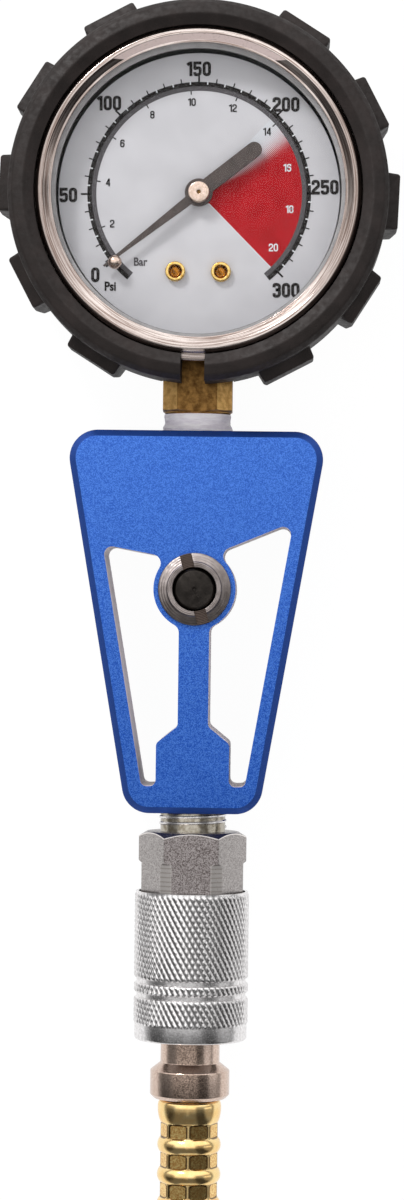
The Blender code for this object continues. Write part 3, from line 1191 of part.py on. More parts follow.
def coupler_sleeve(looks):
    """Sleeve with two grooves round its knurl; its land holds the balls in."""
    place, lay = coupler_place()
    outer = SLEEVE_RADIUS
    cavity = SLEEVE_RADIUS - SLEEVE_WALL
    land = BALL_CIRCLE + BALL_RADIUS + FIT
    nose = outer - SLEEVE_NOSE_DROP
    profile = [(cavity, SLEEVE_START), (outer - SLEEVE_EDGE / 2, SLEEVE_START),
               (outer, SLEEVE_START + SLEEVE_EDGE / 2)]
    half = SLEEVE_GROOVE_WIDTH / 2
    for middle in SLEEVE_GROOVES:
        here = SLEEVE_START + middle
        profile += [(outer, here - half), (outer - SLEEVE_GROOVE_DEPTH, here - half / 2),
                    (outer - SLEEVE_GROOVE_DEPTH, here + half / 2), (outer, here + half)]
    knurl_end = SLEEVE_START + SLEEVE_KNURL_END
    profile += [(outer, knurl_end), (nose, knurl_end + SLEEVE_NOSE_DROP),
                (nose, SLEEVE_END - SLEEVE_EDGE), (nose - SLEEVE_EDGE, SLEEVE_END),
                (SLEEVE_MOUTH_RADIUS, SLEEVE_END), (SLEEVE_MOUTH_RADIUS, SLEEVE_LAND_END),
                (land, SLEEVE_LAND_END), (land, SLEEVE_LAND_START), (cavity, SLEEVE_LAND_START)]
    as_object("coupler_sleeve", turned(profile, COUPLER_ROUND), looks["zinc"], place, lay)


def coupler_inside(looks):
    """Spring and ring of the sleeve, the seal, and the poppet with its spring."""
    place, lay = coupler_place()
    spring = coil(SLEEVE_SPRING_RADIUS, SLEEVE_SPRING_WIRE, BODY_SHOULDER + FIT, SLEEVE_LAND_START - FIT,
                  SLEEVE_SPRING_TURNS)
    as_object("sleeve_spring", spring, looks["spring"], place, lay)
    inner = BODY_TUBE_RADIUS - SNAP_GROOVE_DEPTH + FIT
    outer = inner + SNAP_RING_SECTION
    end = SNAP_RING_START + SNAP_RING_THICKNESS
    ring = [(inner, SNAP_RING_START), (outer, SNAP_RING_START), (outer, end), (inner, end)]
    as_object("retaining_ring", turned(ring, SMALL_ROUND), looks["spring"], place, lay)
    seal_start = POPPET_CHAMBER_END + FIT
    seal_end = seal_start + SEAL_THICKNESS
    seal = [(PLUG_NOSE_RADIUS + FIT, seal_start), (PLUG_RADIUS, seal_start), (PLUG_RADIUS, seal_end),
            (PLUG_NOSE_RADIUS + FIT, seal_end)]
    as_object("plug_seal", turned(seal, SMALL_ROUND), looks["seal"], place, lay)
    poppet_end = PLUG_NOSE_START - FIT
    poppet_start = poppet_end - POPPET_THICKNESS
    stem = POPPET_SPRING_RADIUS - POPPET_SPRING_WIRE / 2 - FIT
    stem_start = (POPPET_CHAMBER_START + poppet_start) / 2
    poppet = [(0, stem_start), (stem, stem_start), (stem, poppet_start), (POPPET_RADIUS, poppet_start),
              (POPPET_RADIUS, poppet_end), (0, poppet_end)]
    as_object("valve_poppet", turned(poppet, PIN_ROUND), looks["brass"], place, lay)
    rear = coil(POPPET_SPRING_RADIUS + POPPET_SPRING_WIRE / 2, POPPET_SPRING_WIRE,
                POPPET_CHAMBER_START + FIT, poppet_start - FIT, POPPET_SPRING_TURNS)
    as_object("poppet_spring", rear, looks["spring"], place, lay)


def hose_plug(looks):
    """Plug with the groove for the balls, its collar and the barb inside the hose."""
    place, lay = coupler_place()
    groove = PLUG_RADIUS - PLUG_GROOVE_DEPTH
    half = PLUG_GROOVE_WIDTH / 2
    slope = PLUG_GROOVE_DEPTH / 2
    neck = SLEEVE_END + PLUG_NECK_LENGTH
    profile = [(PLUG_BORE_RADIUS, PLUG_NOSE_START), (PLUG_NOSE_RADIUS - PLUG_CHAMFER, PLUG_NOSE_START),
               (PLUG_NOSE_RADIUS, PLUG_NOSE_START + PLUG_CHAMFER), (PLUG_NOSE_RADIUS, PLUG_BODY_START),
               (PLUG_RADIUS, PLUG_BODY_START + PLUG_CHAMFER), (PLUG_RADIUS, BALL_PLACE - half - slope),
               (groove, BALL_PLACE - half + slope / 2), (groove, BALL_PLACE + half - slope / 2),
               (PLUG_RADIUS, BALL_PLACE + half + slope), (PLUG_RADIUS, BODY_END),
               (PLUG_NECK_RADIUS, BODY_END + FIT), (PLUG_NECK_RADIUS, neck),
               (COLLAR_RADIUS, COLLAR_START), (COLLAR_RADIUS, COLLAR_END - COLLAR_CHAMFER),
               (COLLAR_RADIUS - COLLAR_CHAMFER, COLLAR_END), (BARB_RADIUS, COLLAR_END),
               (BARB_RADIUS, COLLAR_END + BARB_LENGTH - PLUG_CHAMFER),
               (BARB_RADIUS - PLUG_CHAMFER, COLLAR_END + BARB_LENGTH),
               (PLUG_BORE_RADIUS, COLLAR_END + BARB_LENGTH)]
    as_object("hose_plug", turned(profile, COUPLER_ROUND), looks["nickel"], place, lay)


def ferrule(looks):
    """Crimped shell: round bulges, and flats pressed in at each crimp."""
    place, lay = coupler_place()
    count = 3 * FERRULE_FLATS
    edge = FERRULE_EDGE
    levels = [(FERRULE_START, edge, 0.0), (FERRULE_START + edge, 0.0, 0.0)]
    for number in range(CRIMP_COUNT):
        middle = FERRULE_START + FIRST_CRIMP + number * CRIMP_PITCH
        half = CRIMP_WIDTH / 2
        levels += [(middle - half - CRIMP_SLOPE, 0.0, 0.0), (middle - half, 0.0, 1.0),
                   (middle + half, 0.0, 1.0), (middle + half + CRIMP_SLOPE, 0.0, 0.0)]
    levels += [(FERRULE_END - edge, 0.0, 0.0), (FERRULE_END, edge, 0.0)]
    loops = []
    for height, inset, pressed in levels:
        loop = []
        for step in range(count):
            angle = step * 2 * math.pi / count
            share = (angle * FERRULE_FLATS / (2 * math.pi)) % 1 - 0.5
            flat = FERRULE_CRIMP_RADIUS / math.cos(share * 2 * math.pi / FERRULE_FLATS)
            ridge = min(flat, FERRULE_RIDGE_RADIUS)
            radius = FERRULE_BULGE_RADIUS - inset + (ridge - FERRULE_BULGE_RADIUS) * pressed
            loop.append((radius * math.cos(angle), radius * math.sin(angle), height))
        loops.append(loop)
    bore = HOSE_RADIUS + FIT
    throat = BARB_RADIUS + FIT
    collar = FERRULE_START + FERRULE_FLOOR
    for radius, height in ((bore, FERRULE_END), (bore, collar), (throat, collar), (throat, FERRULE_START)):
        loops.append([(x, y, height) for x, y in circle(radius, count)])
    as_object("ferrule", loft(loops, closed=True), looks["bright_brass"], place, lay)


def hose_end(looks):
    place, lay = coupler_place()
    start = FERRULE_START + FERRULE_FLOOR + FIT
    end = FERRULE_END - FIT
    inner = BARB_RADIUS + FIT
    wall = [(inner, start), (HOSE_RADIUS, start), (HOSE_RADIUS, end), (inner, end)]
    as_object("hose_end", turned(wall, SMALL_ROUND), looks["rubber"], place, lay)


def build():
    clear_scene()
    looks = make_finishes()
    rubber_boot(looks)
    gauge_case(looks)
    bezel_ring(looks)
    lens_and_gasket(looks)
    dial(looks)
    stop_pin(looks)
    pointer(looks)
    pointer_hub(looks)
    pinion_arbor(looks)
    sector_gear(looks)
    link(looks)
    bourdon_tube(looks)
    tube_tip(looks)
    hairspring(looks)
    movement_frame(looks)
    socket_stem(looks)
    thread_tape(looks)
    gauge_block(looks)
    valve_nut(looks)
    release_valve(looks)
    coupler_body(looks)
    locking_balls(looks)
    coupler_sleeve(looks)
    coupler_inside(looks)
    hose_plug(looks)
    ferrule(looks)
    hose_end(looks)


build()
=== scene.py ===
"""Looks of the compression tester gauge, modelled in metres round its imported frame."""

import json
import math

import bmesh
import bpy
from mathutils import Matrix, Vector, noise


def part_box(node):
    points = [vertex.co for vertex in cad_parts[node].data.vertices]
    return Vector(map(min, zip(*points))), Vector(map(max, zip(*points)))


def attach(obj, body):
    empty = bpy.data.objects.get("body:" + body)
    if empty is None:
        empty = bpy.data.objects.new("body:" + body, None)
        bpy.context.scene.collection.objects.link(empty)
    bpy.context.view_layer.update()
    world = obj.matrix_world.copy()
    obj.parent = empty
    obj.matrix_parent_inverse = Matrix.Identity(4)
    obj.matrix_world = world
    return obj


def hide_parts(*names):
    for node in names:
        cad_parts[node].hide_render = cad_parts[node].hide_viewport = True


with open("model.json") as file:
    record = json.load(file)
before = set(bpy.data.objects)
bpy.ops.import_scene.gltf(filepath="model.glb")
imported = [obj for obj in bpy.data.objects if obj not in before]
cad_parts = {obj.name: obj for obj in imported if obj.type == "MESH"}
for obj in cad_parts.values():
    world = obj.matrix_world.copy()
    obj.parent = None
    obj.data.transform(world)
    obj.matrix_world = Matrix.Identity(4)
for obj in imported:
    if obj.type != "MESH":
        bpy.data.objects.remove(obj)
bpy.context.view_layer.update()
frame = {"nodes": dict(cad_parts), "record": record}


def low(node):
    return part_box(node)[0]


def high(node):
    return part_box(node)[1]


def middle(node):
    return (low(node) + high(node)) / 2


def half_width(node):
    return (high(node).x - low(node).x) / 2


# Gap between pieces that touch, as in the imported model
FIT = 0.0003
# How far a cutter runs past what it cuts
PAST = 0.001
# Radius below which a point lies on the axis
ON_AXIS = 0.000001

# Facets and smoothing
ROUND = 144
FINE_ROUND = 96
SMALL_ROUND = 48
FILLET_STEPS = 4
FILLET_SHARE = 0.45
SMOOTH_ANGLE = math.radians(34)

# Usual roundings of edges
FINE_EDGE = 0.0001
SMALL_EDGE = 0.0002
EDGE = 0.0003
WIDE_EDGE = 0.0004

# Camera: 0.7 m above the tool, and turned a little
CAMERA_PLACE = Vector((0.019, 0.0, 0.7116))
CAMERA_AIM = Vector((0.0013, 0.00305, 0.0116))
CAMERA_ROLL = math.radians(0.7)
CAMERA_DISTANCE = 0.700
VIEW_HEIGHT = 0.2439
SENSOR_HEIGHT = 36.0

# Studio: a soft key light, a dome that is bright overhead, and a white card on the floor
KEY_DISTANCE = 1.0
KEY_AZIMUTH = math.radians(122)
KEY_ELEVATION = math.radians(37)
KEY_SIZE = 0.18
KEY_POWER = 4.6
DOME_RADIUS = 2.6
DOME_RINGS = 24
WORLD_DIM = 0.1
FLOOR_HALF = 3.0
FLOOR_DIFFUSE = 0.80
FLOOR_WHITE = 0.93
FLOOR_GLOW = 1.04
SIDE_PLACE = 0.18
STREAK_PLACE = 0.08

# Brightness over a stretch of the dome or floor: both ends of the stretch, then the level at each
DOME_LIGHT = (0.0, 1.0, 0.58, 0.94)
AHEAD = (-0.34, 0.22, 0.14, 1.40)
SIDE_LOSS = (0.50, 0.70, 0.0, 0.72)
SIDE_FADE = (0.15, 0.45, 1.0, 0.0)
RIGHT_GAIN = (0.78, 0.90, 0.0, 0.95)
RIGHT_FADE = (0.06, 0.12, 1.0, 0.0)
RIGHT_LOW = (-0.14, 0.00, 0.30, 1.0)
FRONT_CARD = (-0.82, -0.92, 0.0, 0.55)
FRONT_CARD_SIDES = (0.30, 0.45, 1.0, 0.0)
STREAK = (0.05, 0.11, 0.15, 0.0)
STREAK_START = (-0.08, -0.12, 0.0, 1.0)
STREAK_END = (-0.45, -0.35, 0.0, 1.0)
FLOOR_CARD = (0.045, 0.120, 1.0, 0.26)

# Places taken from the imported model
GAUGE = Vector((0, middle("bezel_ring").y, 0))
BOSS = Vector((0, middle("valve_nut").y, 0))
AXIS_Z = middle("coupler_sleeve").z
BLOCK_TOP_Y = high("gauge_block").y
BLOCK_BOTTOM_Y = low("gauge_block").y
BLOCK_LENGTH = BLOCK_TOP_Y - BLOCK_BOTTOM_Y
BLOCK_BACK_Z = low("gauge_block").z
BLOCK_FRONT_Z = high("gauge_block").z
COUPLER = Vector((0, BLOCK_BOTTOM_Y, AXIS_Z))
LAID = (math.pi / 2, 0, 0)

# Gauge case, bezel and dial
FLANGE_RADIUS = half_width("bezel_ring")
RIM_RADIUS = FLANGE_RADIUS - 0.0014
CASE_RADIUS = FLANGE_RADIUS - 0.0036
DIAL_RADIUS = half_width("dial_plate")
DIAL_Z = high("dial_plate").z
BEZEL_TOP = high("bezel_ring").z
BEZEL_BOTTOM = low("bezel_ring").z
BEZEL_LIP = high("lens").z + FIT
BEZEL_SHOULDER = low("lens").z + 0.0004
BEZEL_WALL = 0.0007
BEZEL_BEAD = 0.0292
BEZEL_SLOPE_FOOT = 0.0297
BEZEL_SLOPE_TOP = 0.0309
BEZEL_SLOPE = math.radians(36)
BEZEL_ROLL_EDGE = 0.0317
BEZEL_ROLL_DROP = 0.0008
BEZEL_LIP_EDGE = 0.00015
BEZEL_BEAD_EDGE = 0.00012
DIAL_HOLE = 0.0018
GASKET_GAP = 0.0002
GASKET_EDGE = 0.00015

# Width of the painted shade along the gasket's inner edge, from the dial outwards
GASKET_SHADE_WIDTH = 0.0002

# Share of plain glass's gloss that the lens keeps
LENS_GLOSS = 0.15

# How far the fine lines of rolled metal wander in a turn of one radian
LINE_RUN = 0.0006
# Where the scuffed matt stretch of the bezel starts; its pale tone is partly a painted reflection
SCUFF_SHEEN_START = 0.0255
# Share and span across the bezel of the painted dark reflection on its left and right
SIDE_DARK_REFLECTION = 0.45
SIDE_DARK_REFLECTION_FROM = 0.0200
SIDE_DARK_REFLECTION_TO = 0.0275

# Rubber boot
BOOT_RADIUS = FLANGE_RADIUS + 0.0041
BOOT_FLOOR = 0.0025
BOOT_TOP = high("rubber_boot").z
BOOT_RIDGE = RIM_RADIUS + 0.0024
BOOT_TURN = math.radians(-2.3)
BOOT_STEP = 0.0005
BOOT_ROUNDING = 0.0010
BOOT_RIDGE_EDGE = 0.0006
BOOT_LIP_DROP = 0.0013
# Profile of the wall: distance from the boot's radius, height or drop from its top, and rounding
BOOT_FOOT = ((-0.0034, 0.0, 0.0008), (-0.0011, 0.0048, 0.0010), (-0.0008, 0.0060, 0.0010),
             (0.0, 0.0160, 0.0020))
BOOT_SHOULDER = ((0.0, 0.0022, 0.0012), (-0.0010, 0.0007, 0.0010))
LUG_COUNT = 12
LUG_PLACES_LEFT_OUT = (3, 9)
LUG_HEIGHT = 0.0024
LUG_HALF_WIDTH = 0.00575
LUG_SIDE_SLOPE = 0.00055
LUG_FILLET = 0.00055
LUG_BOTTOM = 0.0060
LUG_TOP = 0.0262
LUG_BEVEL = 0.0013
LUG_FLAT_STEPS = 6
LUG_GAP_STEPS = 5
SLIT_WIDTH = 0.0048
WALL_HOLE_REACH = 0.0040

# Print on the dial, in degrees anticlockwise from the right and in metres
DIAL_TURN = math.radians(0.7)
ZERO_ANGLE = 225.0
DEGREES_PER_PSI = 0.9
PSI_PER_BAR = 14.504
PSI_STEP = 10
PSI_LONG_STEP = 50
PSI_LAST = 300
BAND_STEPS = 160
PRINT_LIFT = 0.00003
BAND_START = -51.0
BAND_END = 230.0
BAND_INNER = 0.0206
BAND_MIDDLE = 0.0215
BAND_OUTER = 0.0224
TICK_END = 0.0232
LONG_TICK_END = 0.0237
TICK_WIDTH = 0.00024
LONG_TICK_WIDTH = 0.00038
NOTCH_START = 0.0219
NOTCH_END = 0.0226
NOTCH_WIDTH = 0.00026
BAR_TICK_START = 0.0199
BAR_TICK_END = 0.0207
ZERO_TICK_ANGLE = 218.0
PSI_NUMBERS = ((0, -20.8, -16.2), (50, -26.2, -0.2), (100, -18.0, 18.2), (150, 0.0, 25.0),
               (200, 17.4, 17.8), (250, 25.2, 1.2), (300, 17.4, -19.4))
NUMBER_HEIGHT = 0.00295
NUMBER_STROKE = 0.205
BAR_NUMBER_HEIGHT = 0.00155
BAR_NUMBER_STROKE = 0.165
DIGIT_WIDTH = 0.57
ONE_WIDTH = 0.36
DIGIT_GAP = 0.06
DIGIT_BEND = 0.7
DIGIT_WAIST = 0.53
POST_INSET = 0.06
LEAST_MITRE = 0.6
# The places of the numbers are in millimetres
PER_METRE = 1000
WORDS = (("Psi", -0.0178, -0.0185, 0.00188, 0.030), ("Bar", -0.0117, -0.0136, 0.00170, 0.022))
WORD_NARROWING = 0.86
BAR_NUMBER_RADIUS = 0.0184
BAR_STEP = 2
BAR_LAST = 20
BAR_LAST_ON_WHITE = 14
RED_START = -46.0
RED_SOLID_END = 9.0
RED_FADE_WIDTH = 30.0
RED_LEAN = 420.0
RED_END = 46.0
RED_STEPS = 48
RED_EDGE_WIDTH = 0.00022
HALFTONE_PITCH = 0.00042

# Pointer and its stop
POINTER_REST = math.radians(218.3)
POINTER_TIP = 0.0240
POINTER_TIP_WIDTH = 0.0004
POINTER_ROOT_WIDTH = 0.0019
POINTER_BOSS_RADIUS = 0.0028
POINTER_TAIL = 0.0155
POINTER_TAIL_WIDTH = 0.0031
POINTER_EDGE = 0.00008
POINTER_NARROWING = 0.96
POINTER_BOSS_STEPS = 16
POINTER_TAIL_STEPS = 20
BUSH_BORE = 0.0009
BUSH_NECK = 0.0012
BUSH_HEIGHT = 0.0007
BUSH_EDGE = 0.00025
BUSH_EYE = 0.0004
BUSH_EYE_EDGE = 0.00005
BUSH_EYE_DEPTH = 0.0003
STOP_SHANK = 0.0005
STOP_HEIGHT = 0.0012
STOP_STEPS = 10

# Heads of the dial's screws
SCREW_SHANK = 0.0008
SCREW_HEIGHT = 0.0010
SCREW_RIM = 0.0014
SCREW_DISH = 0.0009
SCREW_DISH_DEPTH = 0.0005

# Stem and tape
STEM_HALF = 0.0070
STEM_CHAMFER = 0.0030
STEM_END_Y = BLOCK_TOP_Y + 0.0039
STEM_START_Y = GAUGE.y - 0.0180
STEM_COLLAR = 0.0006
STEM_THREAD_RADIUS = 0.0062
STEM_THREAD_END = 0.0142
STEM_COLLAR_RISE = 0.0004
STEM_CUT_START = -0.0024
STEM_SEAT_HALF = 0.0085
STEM_SEAT_END = -0.0115
TAPE_PITCH = 0.0021
TAPE_ROWS = 90
TAPE_THICKNESS = 0.00045
TAPE_LAYER = 0.00012
# Wrinkles of the tape: how often round it, how often along it, and their height
TAPE_FOLD = (2.2, 900, 0.00022)
TAPE_WRINKLE = (9, 2600, 0.00008)
TAPE_FLARE = 0.00045
TAPE_FLARE_START = 0.0022
TAPE_FLARE_RISE = 0.0016
TAPE_FLARE_END = 0.0040
TAPE_FLARE_FALL = 0.001
# How far the stem's facets face up for their painted brighter tone
FACET_STEEP = 0.78
FACET_FLAT = 0.90

# Block
BLOCK_TOP_HALF_WIDTH = 0.02656
BLOCK_BOTTOM_HALF_WIDTH = 0.01329
BLOCK_TAPER = (BLOCK_TOP_HALF_WIDTH - BLOCK_BOTTOM_HALF_WIDTH) / BLOCK_LENGTH
BLOCK_TOP_CORNER = 0.0057
BLOCK_BOTTOM_CORNER = 0.0055
BLOCK_CHAMFER = 0.0013
BLOCK_EDGE = 0.00012
BLOCK_CORNER_STEPS = 14
LEFT_WALL = 0.0040
RIGHT_WALL = 0.0037
WINDOW_LEFT_TOP = 0.0231
WINDOW_RIGHT_TOP = 0.0182
WINDOW_LEFT_SLOPE = math.radians(10.5)
WINDOW_RIGHT_SLOPE = math.radians(22.5)
WINDOW_BOTTOM_BAR = 0.0055
WINDOW_CORNER = 0.0016
WINDOW_STEPS = 8
BOSS_RADIUS = 0.00825
BOSS_FILLET = 0.0018
BOSS_STEPS = 24
STRUT_HALF = 0.00305
PAD_HALF = 0.00735
PAD_HEIGHT = 0.0176
PAD_SHOULDER = 0.0035
PAD_CORNER = 0.0012
PAD_FOOT_CORNER = 0.00125
GAUGE_PORT_RADIUS = 0.0072
COUPLER_PORT_RADIUS = 0.0069
PORT_DEPTH = 0.0100

# How steep a face of the block is for the deeper blue of its walls and chamfers, which is painted shade, and
# for the plain blue
ANODISED_WALL = 0.30
ANODISED_CHAMFER = 0.60
ANODISED_SLANT = 0.80
ANODISED_FACE = 0.95
GRAIN_SHARE = 0.55
# Depth from the block's outline at which the walls of the windows begin, and how edge on they get a pale
# painted reflection
WALL_DEPTH = 0.0020
EDGE_ON_FROM = 0.76
EDGE_ON_TO = 0.88

# Release valve
NUT_RADIUS = half_width("valve_nut")
NUT_TOP = high("valve_nut").z
NUT_LOW = BLOCK_FRONT_Z + FIT
NUT_FACE_RADIUS = 0.0054
NUT_STEP = 0.00015
NUT_RIM = 0.0004
NUT_THREAD_RADIUS = 0.0057
NUT_THREAD_LENGTH = 0.0061
CHAMBER_RADIUS = 0.0052
CHAMBER_DEPTH = 0.0137
GUIDE_RADIUS = 0.0024
GUIDE_DEPTH = 0.0038
NUT_SLOT_WIDTH = 0.0024
NUT_SLOT_DEPTH = 0.0009
NUT_SLOT_TURN = math.radians(105)
TURNED_GLOSS = 0.7
BUTTON_RADIUS = 0.0041
BUTTON_TOP = high("release_button").z
BUTTON_LOW = low("release_button").z
BUTTON_FLANGE = 0.0013
BUTTON_EDGE = 0.0004
BUTTON_PIP = 0.00022

# Coupler, measured from the block's foot
NECK_END = 0.0040
HEX_END = 0.0101
HEX_HALF = 0.0095
HEX_CHAMFER = 0.0012
HEX_TURNED_RADIUS = 0.01035
HEX_BLANK = HEX_HALF / math.cos(math.pi / 6) + FIT
HEX_FACE_DROP = 0.0002
# Width of the bright line of wear and painted glint along the hexagon's chamfer
WORN_GLINT_LINE = 0.0004
TURNED_PITCH = 0.0009
HEX_SHARP_ANGLE = math.radians(12)
# How far plated metal faces up for its painted darker front tone, against its painted lighter sides
PLATED_SIDE = 0.82
PLATED_FRONT = 0.96
PLATED_GRAINS = 0.40
THREAD_RADIUS = 0.0066
THREAD_LENGTH = 0.0097
THREAD_CREST = 0.00045
THREAD_PITCH = 0.00125
THREAD_TURN_STEPS = 48
THREAD_START = -0.0020
THREAD_SINK = 0.0002
THREAD_FILL = 0.9
# Section of the thread's ridge: share of its pitch, and height
THREAD_RIDGE = ((-0.5, -0.0001), (-0.12, THREAD_CREST), (0.12, THREAD_CREST), (0.5, -0.0001))
PRISM_START = -0.0100
HEX_SIDES = 6
HEX_END_BEVEL = 0.0004
HEX_SHOULDER_BEVEL = 0.0003
BODY_SHOULDER = 0.0016
BODY_END = 0.0008
SLEEVE_START = 0.0161
SLEEVE_LENGTH = 0.0301
SLEEVE_END = SLEEVE_START + SLEEVE_LENGTH
SLEEVE_RADIUS = half_width("coupler_sleeve")
SLEEVE_CAVITY = SLEEVE_RADIUS - 0.00075
SLEEVE_LAND = 0.0088
SLEEVE_LAND_START = 0.0305
SLEEVE_LAND_END = 0.0426
SLEEVE_MOUTH = 0.0100
SLEEVE_GROOVES = (0.0180, 0.0209)
SLEEVE_GROOVE_HALF = 0.00055
SLEEVE_GROOVE_DEPTH = 0.0005
KNURL_START = 0.0004
KNURL_END = 0.0267
KNURL_STARTS = 60
KNURL_SAMPLES = 8
KNURL_HELIX = math.radians(30)
KNURL_DEPTH = 0.00025
KNURL_WEAK_SHARE = 0.55
KNURL_WALL = 2.6
KNURL_RIM = 0.0002
SLEEVE_NOSE_EDGE = 0.0007
GROOVE = "groove"
PANEL = "panel"
BODY_TUBE_RADIUS = 0.0085
BODY_BORE_RADIUS = 0.00615
SUPPLY_BORE_RADIUS = 0.0030
POPPET_CHAMBER_RADIUS = 0.0050
POPPET_CHAMBER_START = 0.0140
POPPET_CHAMBER_END = 0.0240

# Plug and ferrule, measured from the block's foot
PLUG_NECK_RADIUS = 0.0060
PLUG_NECK_END = SLEEVE_END + 0.0046
COLLAR_START = PLUG_NECK_END + 0.0016
COLLAR_END = COLLAR_START + 0.0057
COLLAR_RADIUS = half_width("hose_plug")
COLLAR_CHAMFER = 0.0008
PLUG_RADIUS = 0.00585
PLUG_BORE_RADIUS = 0.0020
BARB_RADIUS = 0.0030
BARB_LENGTH = 0.0180
BARB_EDGE = 0.0005
PLUG_NOSE = (0.0041, 0.0220, 0.0006)
PLUG_NOSE_END = 0.0268
# Profile of the plug behind its nose: depth below its radius, place and rounding
PLUG_PROFILE = ((0.0, 0.0274, EDGE), (0.0, 0.0365, EDGE), (0.0009, 0.0372, EDGE), (0.0009, 0.0402, EDGE),
                (0.0, 0.0409, EDGE))
PLUG_BEVEL = 0.0008
PLUG_NECK_START = 0.0005
FERRULE_START = COLLAR_END + FIT
FERRULE_END = FERRULE_START + 0.0239
FERRULE_BULGE = half_width("ferrule")
FERRULE_CRIMP = 0.0055
FERRULE_RIDGE = 0.0058
FERRULE_FLATS = 8
FERRULE_FLAT_SAMPLES = 20
FERRULE_ROW = 0.00012
FERRULE_EDGE = 0.0014
CRIMP_COUNT = 3
CRIMP_HALF = 0.00150
CRIMP_PITCH = 0.00605
FIRST_CRIMP = 0.0061
PANEL_SHARE = 0.90
PANEL_POWER = 5
PANEL_EDGE = 0.28
BORDER_START = 0.50
BORDER_END = 1.25
SHOULDER_TOP = 0.0016
BULGE_POWER = 0.8
HOSE_BORE_RADIUS = 0.0049
HOSE_SEAT = 0.0012

# Tones of each surface from 0 to 255: a darker and a lighter one, or one alone
TONES = {
    "boot_rubber": ((31, 24, 22), (40, 32, 30)),
    "seal_rubber": ((24, 23, 22), (36, 34, 33)),
    "dust": ((120, 116, 110),),
    "bezel_chrome": ((142, 122, 113), (228, 216, 210)),
    "bezel_dark_reflection": ((96, 80, 73),),
    "bezel_scuff_and_sheen": ((226, 206, 202), (176, 156, 150)),
    "case_steel": ((150, 150, 152), (184, 184, 186)),
    "spring_steel": ((172, 172, 172), (205, 205, 205)),
    "pointer_black": ((62, 52, 49), (78, 67, 63)),
    "warm_nickel": ((206, 182, 166), (226, 204, 190)),
    "turned_steel": ((134, 125, 122), (160, 151, 148)),
    # Painted shade on the floor of the nut's slot
    "slot_floor_shade": ((92, 80, 74),),
    "button_black": ((40, 37, 35), (58, 54, 51)),
    "blue_anodised": ((32, 88, 190), (54, 106, 208)),
    "block_deep": ((8, 30, 112),),
    "block_pale": ((120, 176, 248),),
    "block_wall_shade_and_reflection": ((18, 42, 124), (255, 232, 230)),
    "block_chamfer_shade": ((40, 76, 156),),
    "zinc_steel": ((220, 217, 217), (246, 244, 244)),
    "knurl_groove_shade": ((56, 50, 48),),
    "plug_front_shaded": ((122, 104, 93), (198, 174, 158)),
    "plug_side_lit": ((196, 172, 157), (226, 204, 190)),
    "hex_front_shaded": ((104, 95, 93), (186, 178, 177)),
    "hex_side_lit": ((136, 130, 128), (192, 187, 185)),
    "hex_worn_glint": ((246, 240, 236),),
    "hex_turned": ((168, 163, 160), (146, 140, 136)),
    "neck": ((132, 123, 108), (176, 170, 158)),
    "brass": ((100, 70, 36), (156, 117, 66)),
    "brass_facet_lit": ((186, 142, 82), (230, 186, 116)),
    "bright_brass": ((250, 208, 138), (255, 226, 164)),
    "ferrule_panel_shade": ((214, 162, 90), (255, 222, 146)),
    "ferrule_border_shade": ((74, 46, 18),),
    # Painted shade in the screws' dish, then their brighter rim
    "dished_brass": ((104, 62, 20), (186, 120, 42)),
    "screw_rim": ((208, 158, 78), (246, 212, 132)),
    "grey_gasket": ((168, 166, 167), (186, 184, 185)),
    "gasket_edge_shade": ((52, 47, 45),),
    "dial_print": ((203, 202, 206), (210, 209, 213)),
    "ink_black": ((34, 30, 29),),
    "ink_grey": ((88, 85, 88),),
    "ink_white": ((225, 226, 230),),
    "ink_worn": ((200, 200, 205),),
    "ink_red": ((166, 20, 28), (182, 28, 36)),
    "red_paper": ((213, 215, 220),),
    "white_tape": ((226, 219, 228), (252, 248, 252)),
    "clear_lens": ((235, 238, 240), (245, 247, 248)),
}

# Noises: scale, detail and roughness, and for a tone the two values that it runs between
NOISES = {
    "rubber_cloud": (220, 4, 0.5, 0.35, 0.70),
    "rubber_gloss": (900, 3, 0.5),
    "boot_skin": (2600, 3, 0.5),
    "seal_skin": (3200, 3, 0.5),
    "steel_cloud": (600, 5, 0.6, 0.32, 0.68),
    "steel_grain": (4000, 3, 0.6),
    "pointer_cloud": (700, 5, 0.6, 0.32, 0.68),
    "pointer_grain": (3500, 3, 0.6),
    "nickel_cloud": (1800, 5, 0.6, 0.32, 0.68),
    "nickel_grain": (3200, 3, 0.6),
    "turned_cloud": (500, 4, 0.5, 0.3, 0.7),
    "turned_marks": (1200, 4, 0.5),
    "rolled_scratches": (2400, 4, 0.7, 0.56, 0.70),
    "rolled_lines": (4200, 3, 0.7, 0.36, 0.62),
    "block_grain": (3600, 3, 0.7),
    "block_gloss": (700, 3, 0.5),
    "knurl_cloud": (1500, 5, 0.6, 0.32, 0.68),
    "knurl_grain": (3600, 3, 0.6),
    "plated_grain": (4800, 3, 0.6),
    "neck_cloud": (900, 4, 0.5, 0.35, 0.65),
    "brass_cloud": (750, 5, 0.6, 0.32, 0.68),
    "brass_grain": (2600, 3, 0.6),
    "ferrule_cloud": (450, 5, 0.6, 0.32, 0.68),
    "ferrule_spots": (2600, 4, 0.7, 0.40, 0.62),
    "ferrule_grain": (3000, 3, 0.6),
    "dish_cloud": (1400, 4, 0.5, 0.35, 0.65),
    "dish_gloss": (3000, 3, 0.5),
    "gasket_cloud": (400, 3, 0.5, 0.3, 0.7),
    "gasket_skin": (3000, 2, 0.5),
    "paper_cloud": (160, 4, 0.5, 0.3, 0.7),
    "paper_skin": (2500, 2, 0.5),
    "ink_wear": (1800, 3, 0.5, 0.52, 0.72),
    "red_cloud": (300, 4, 0.5, 0.3, 0.7),
    "tape_folds": (260, 4, 0.6),
    "lens_cloud": (60, 3, 0.5),
    "lens_gloss": (300, 3, 0.5),
}

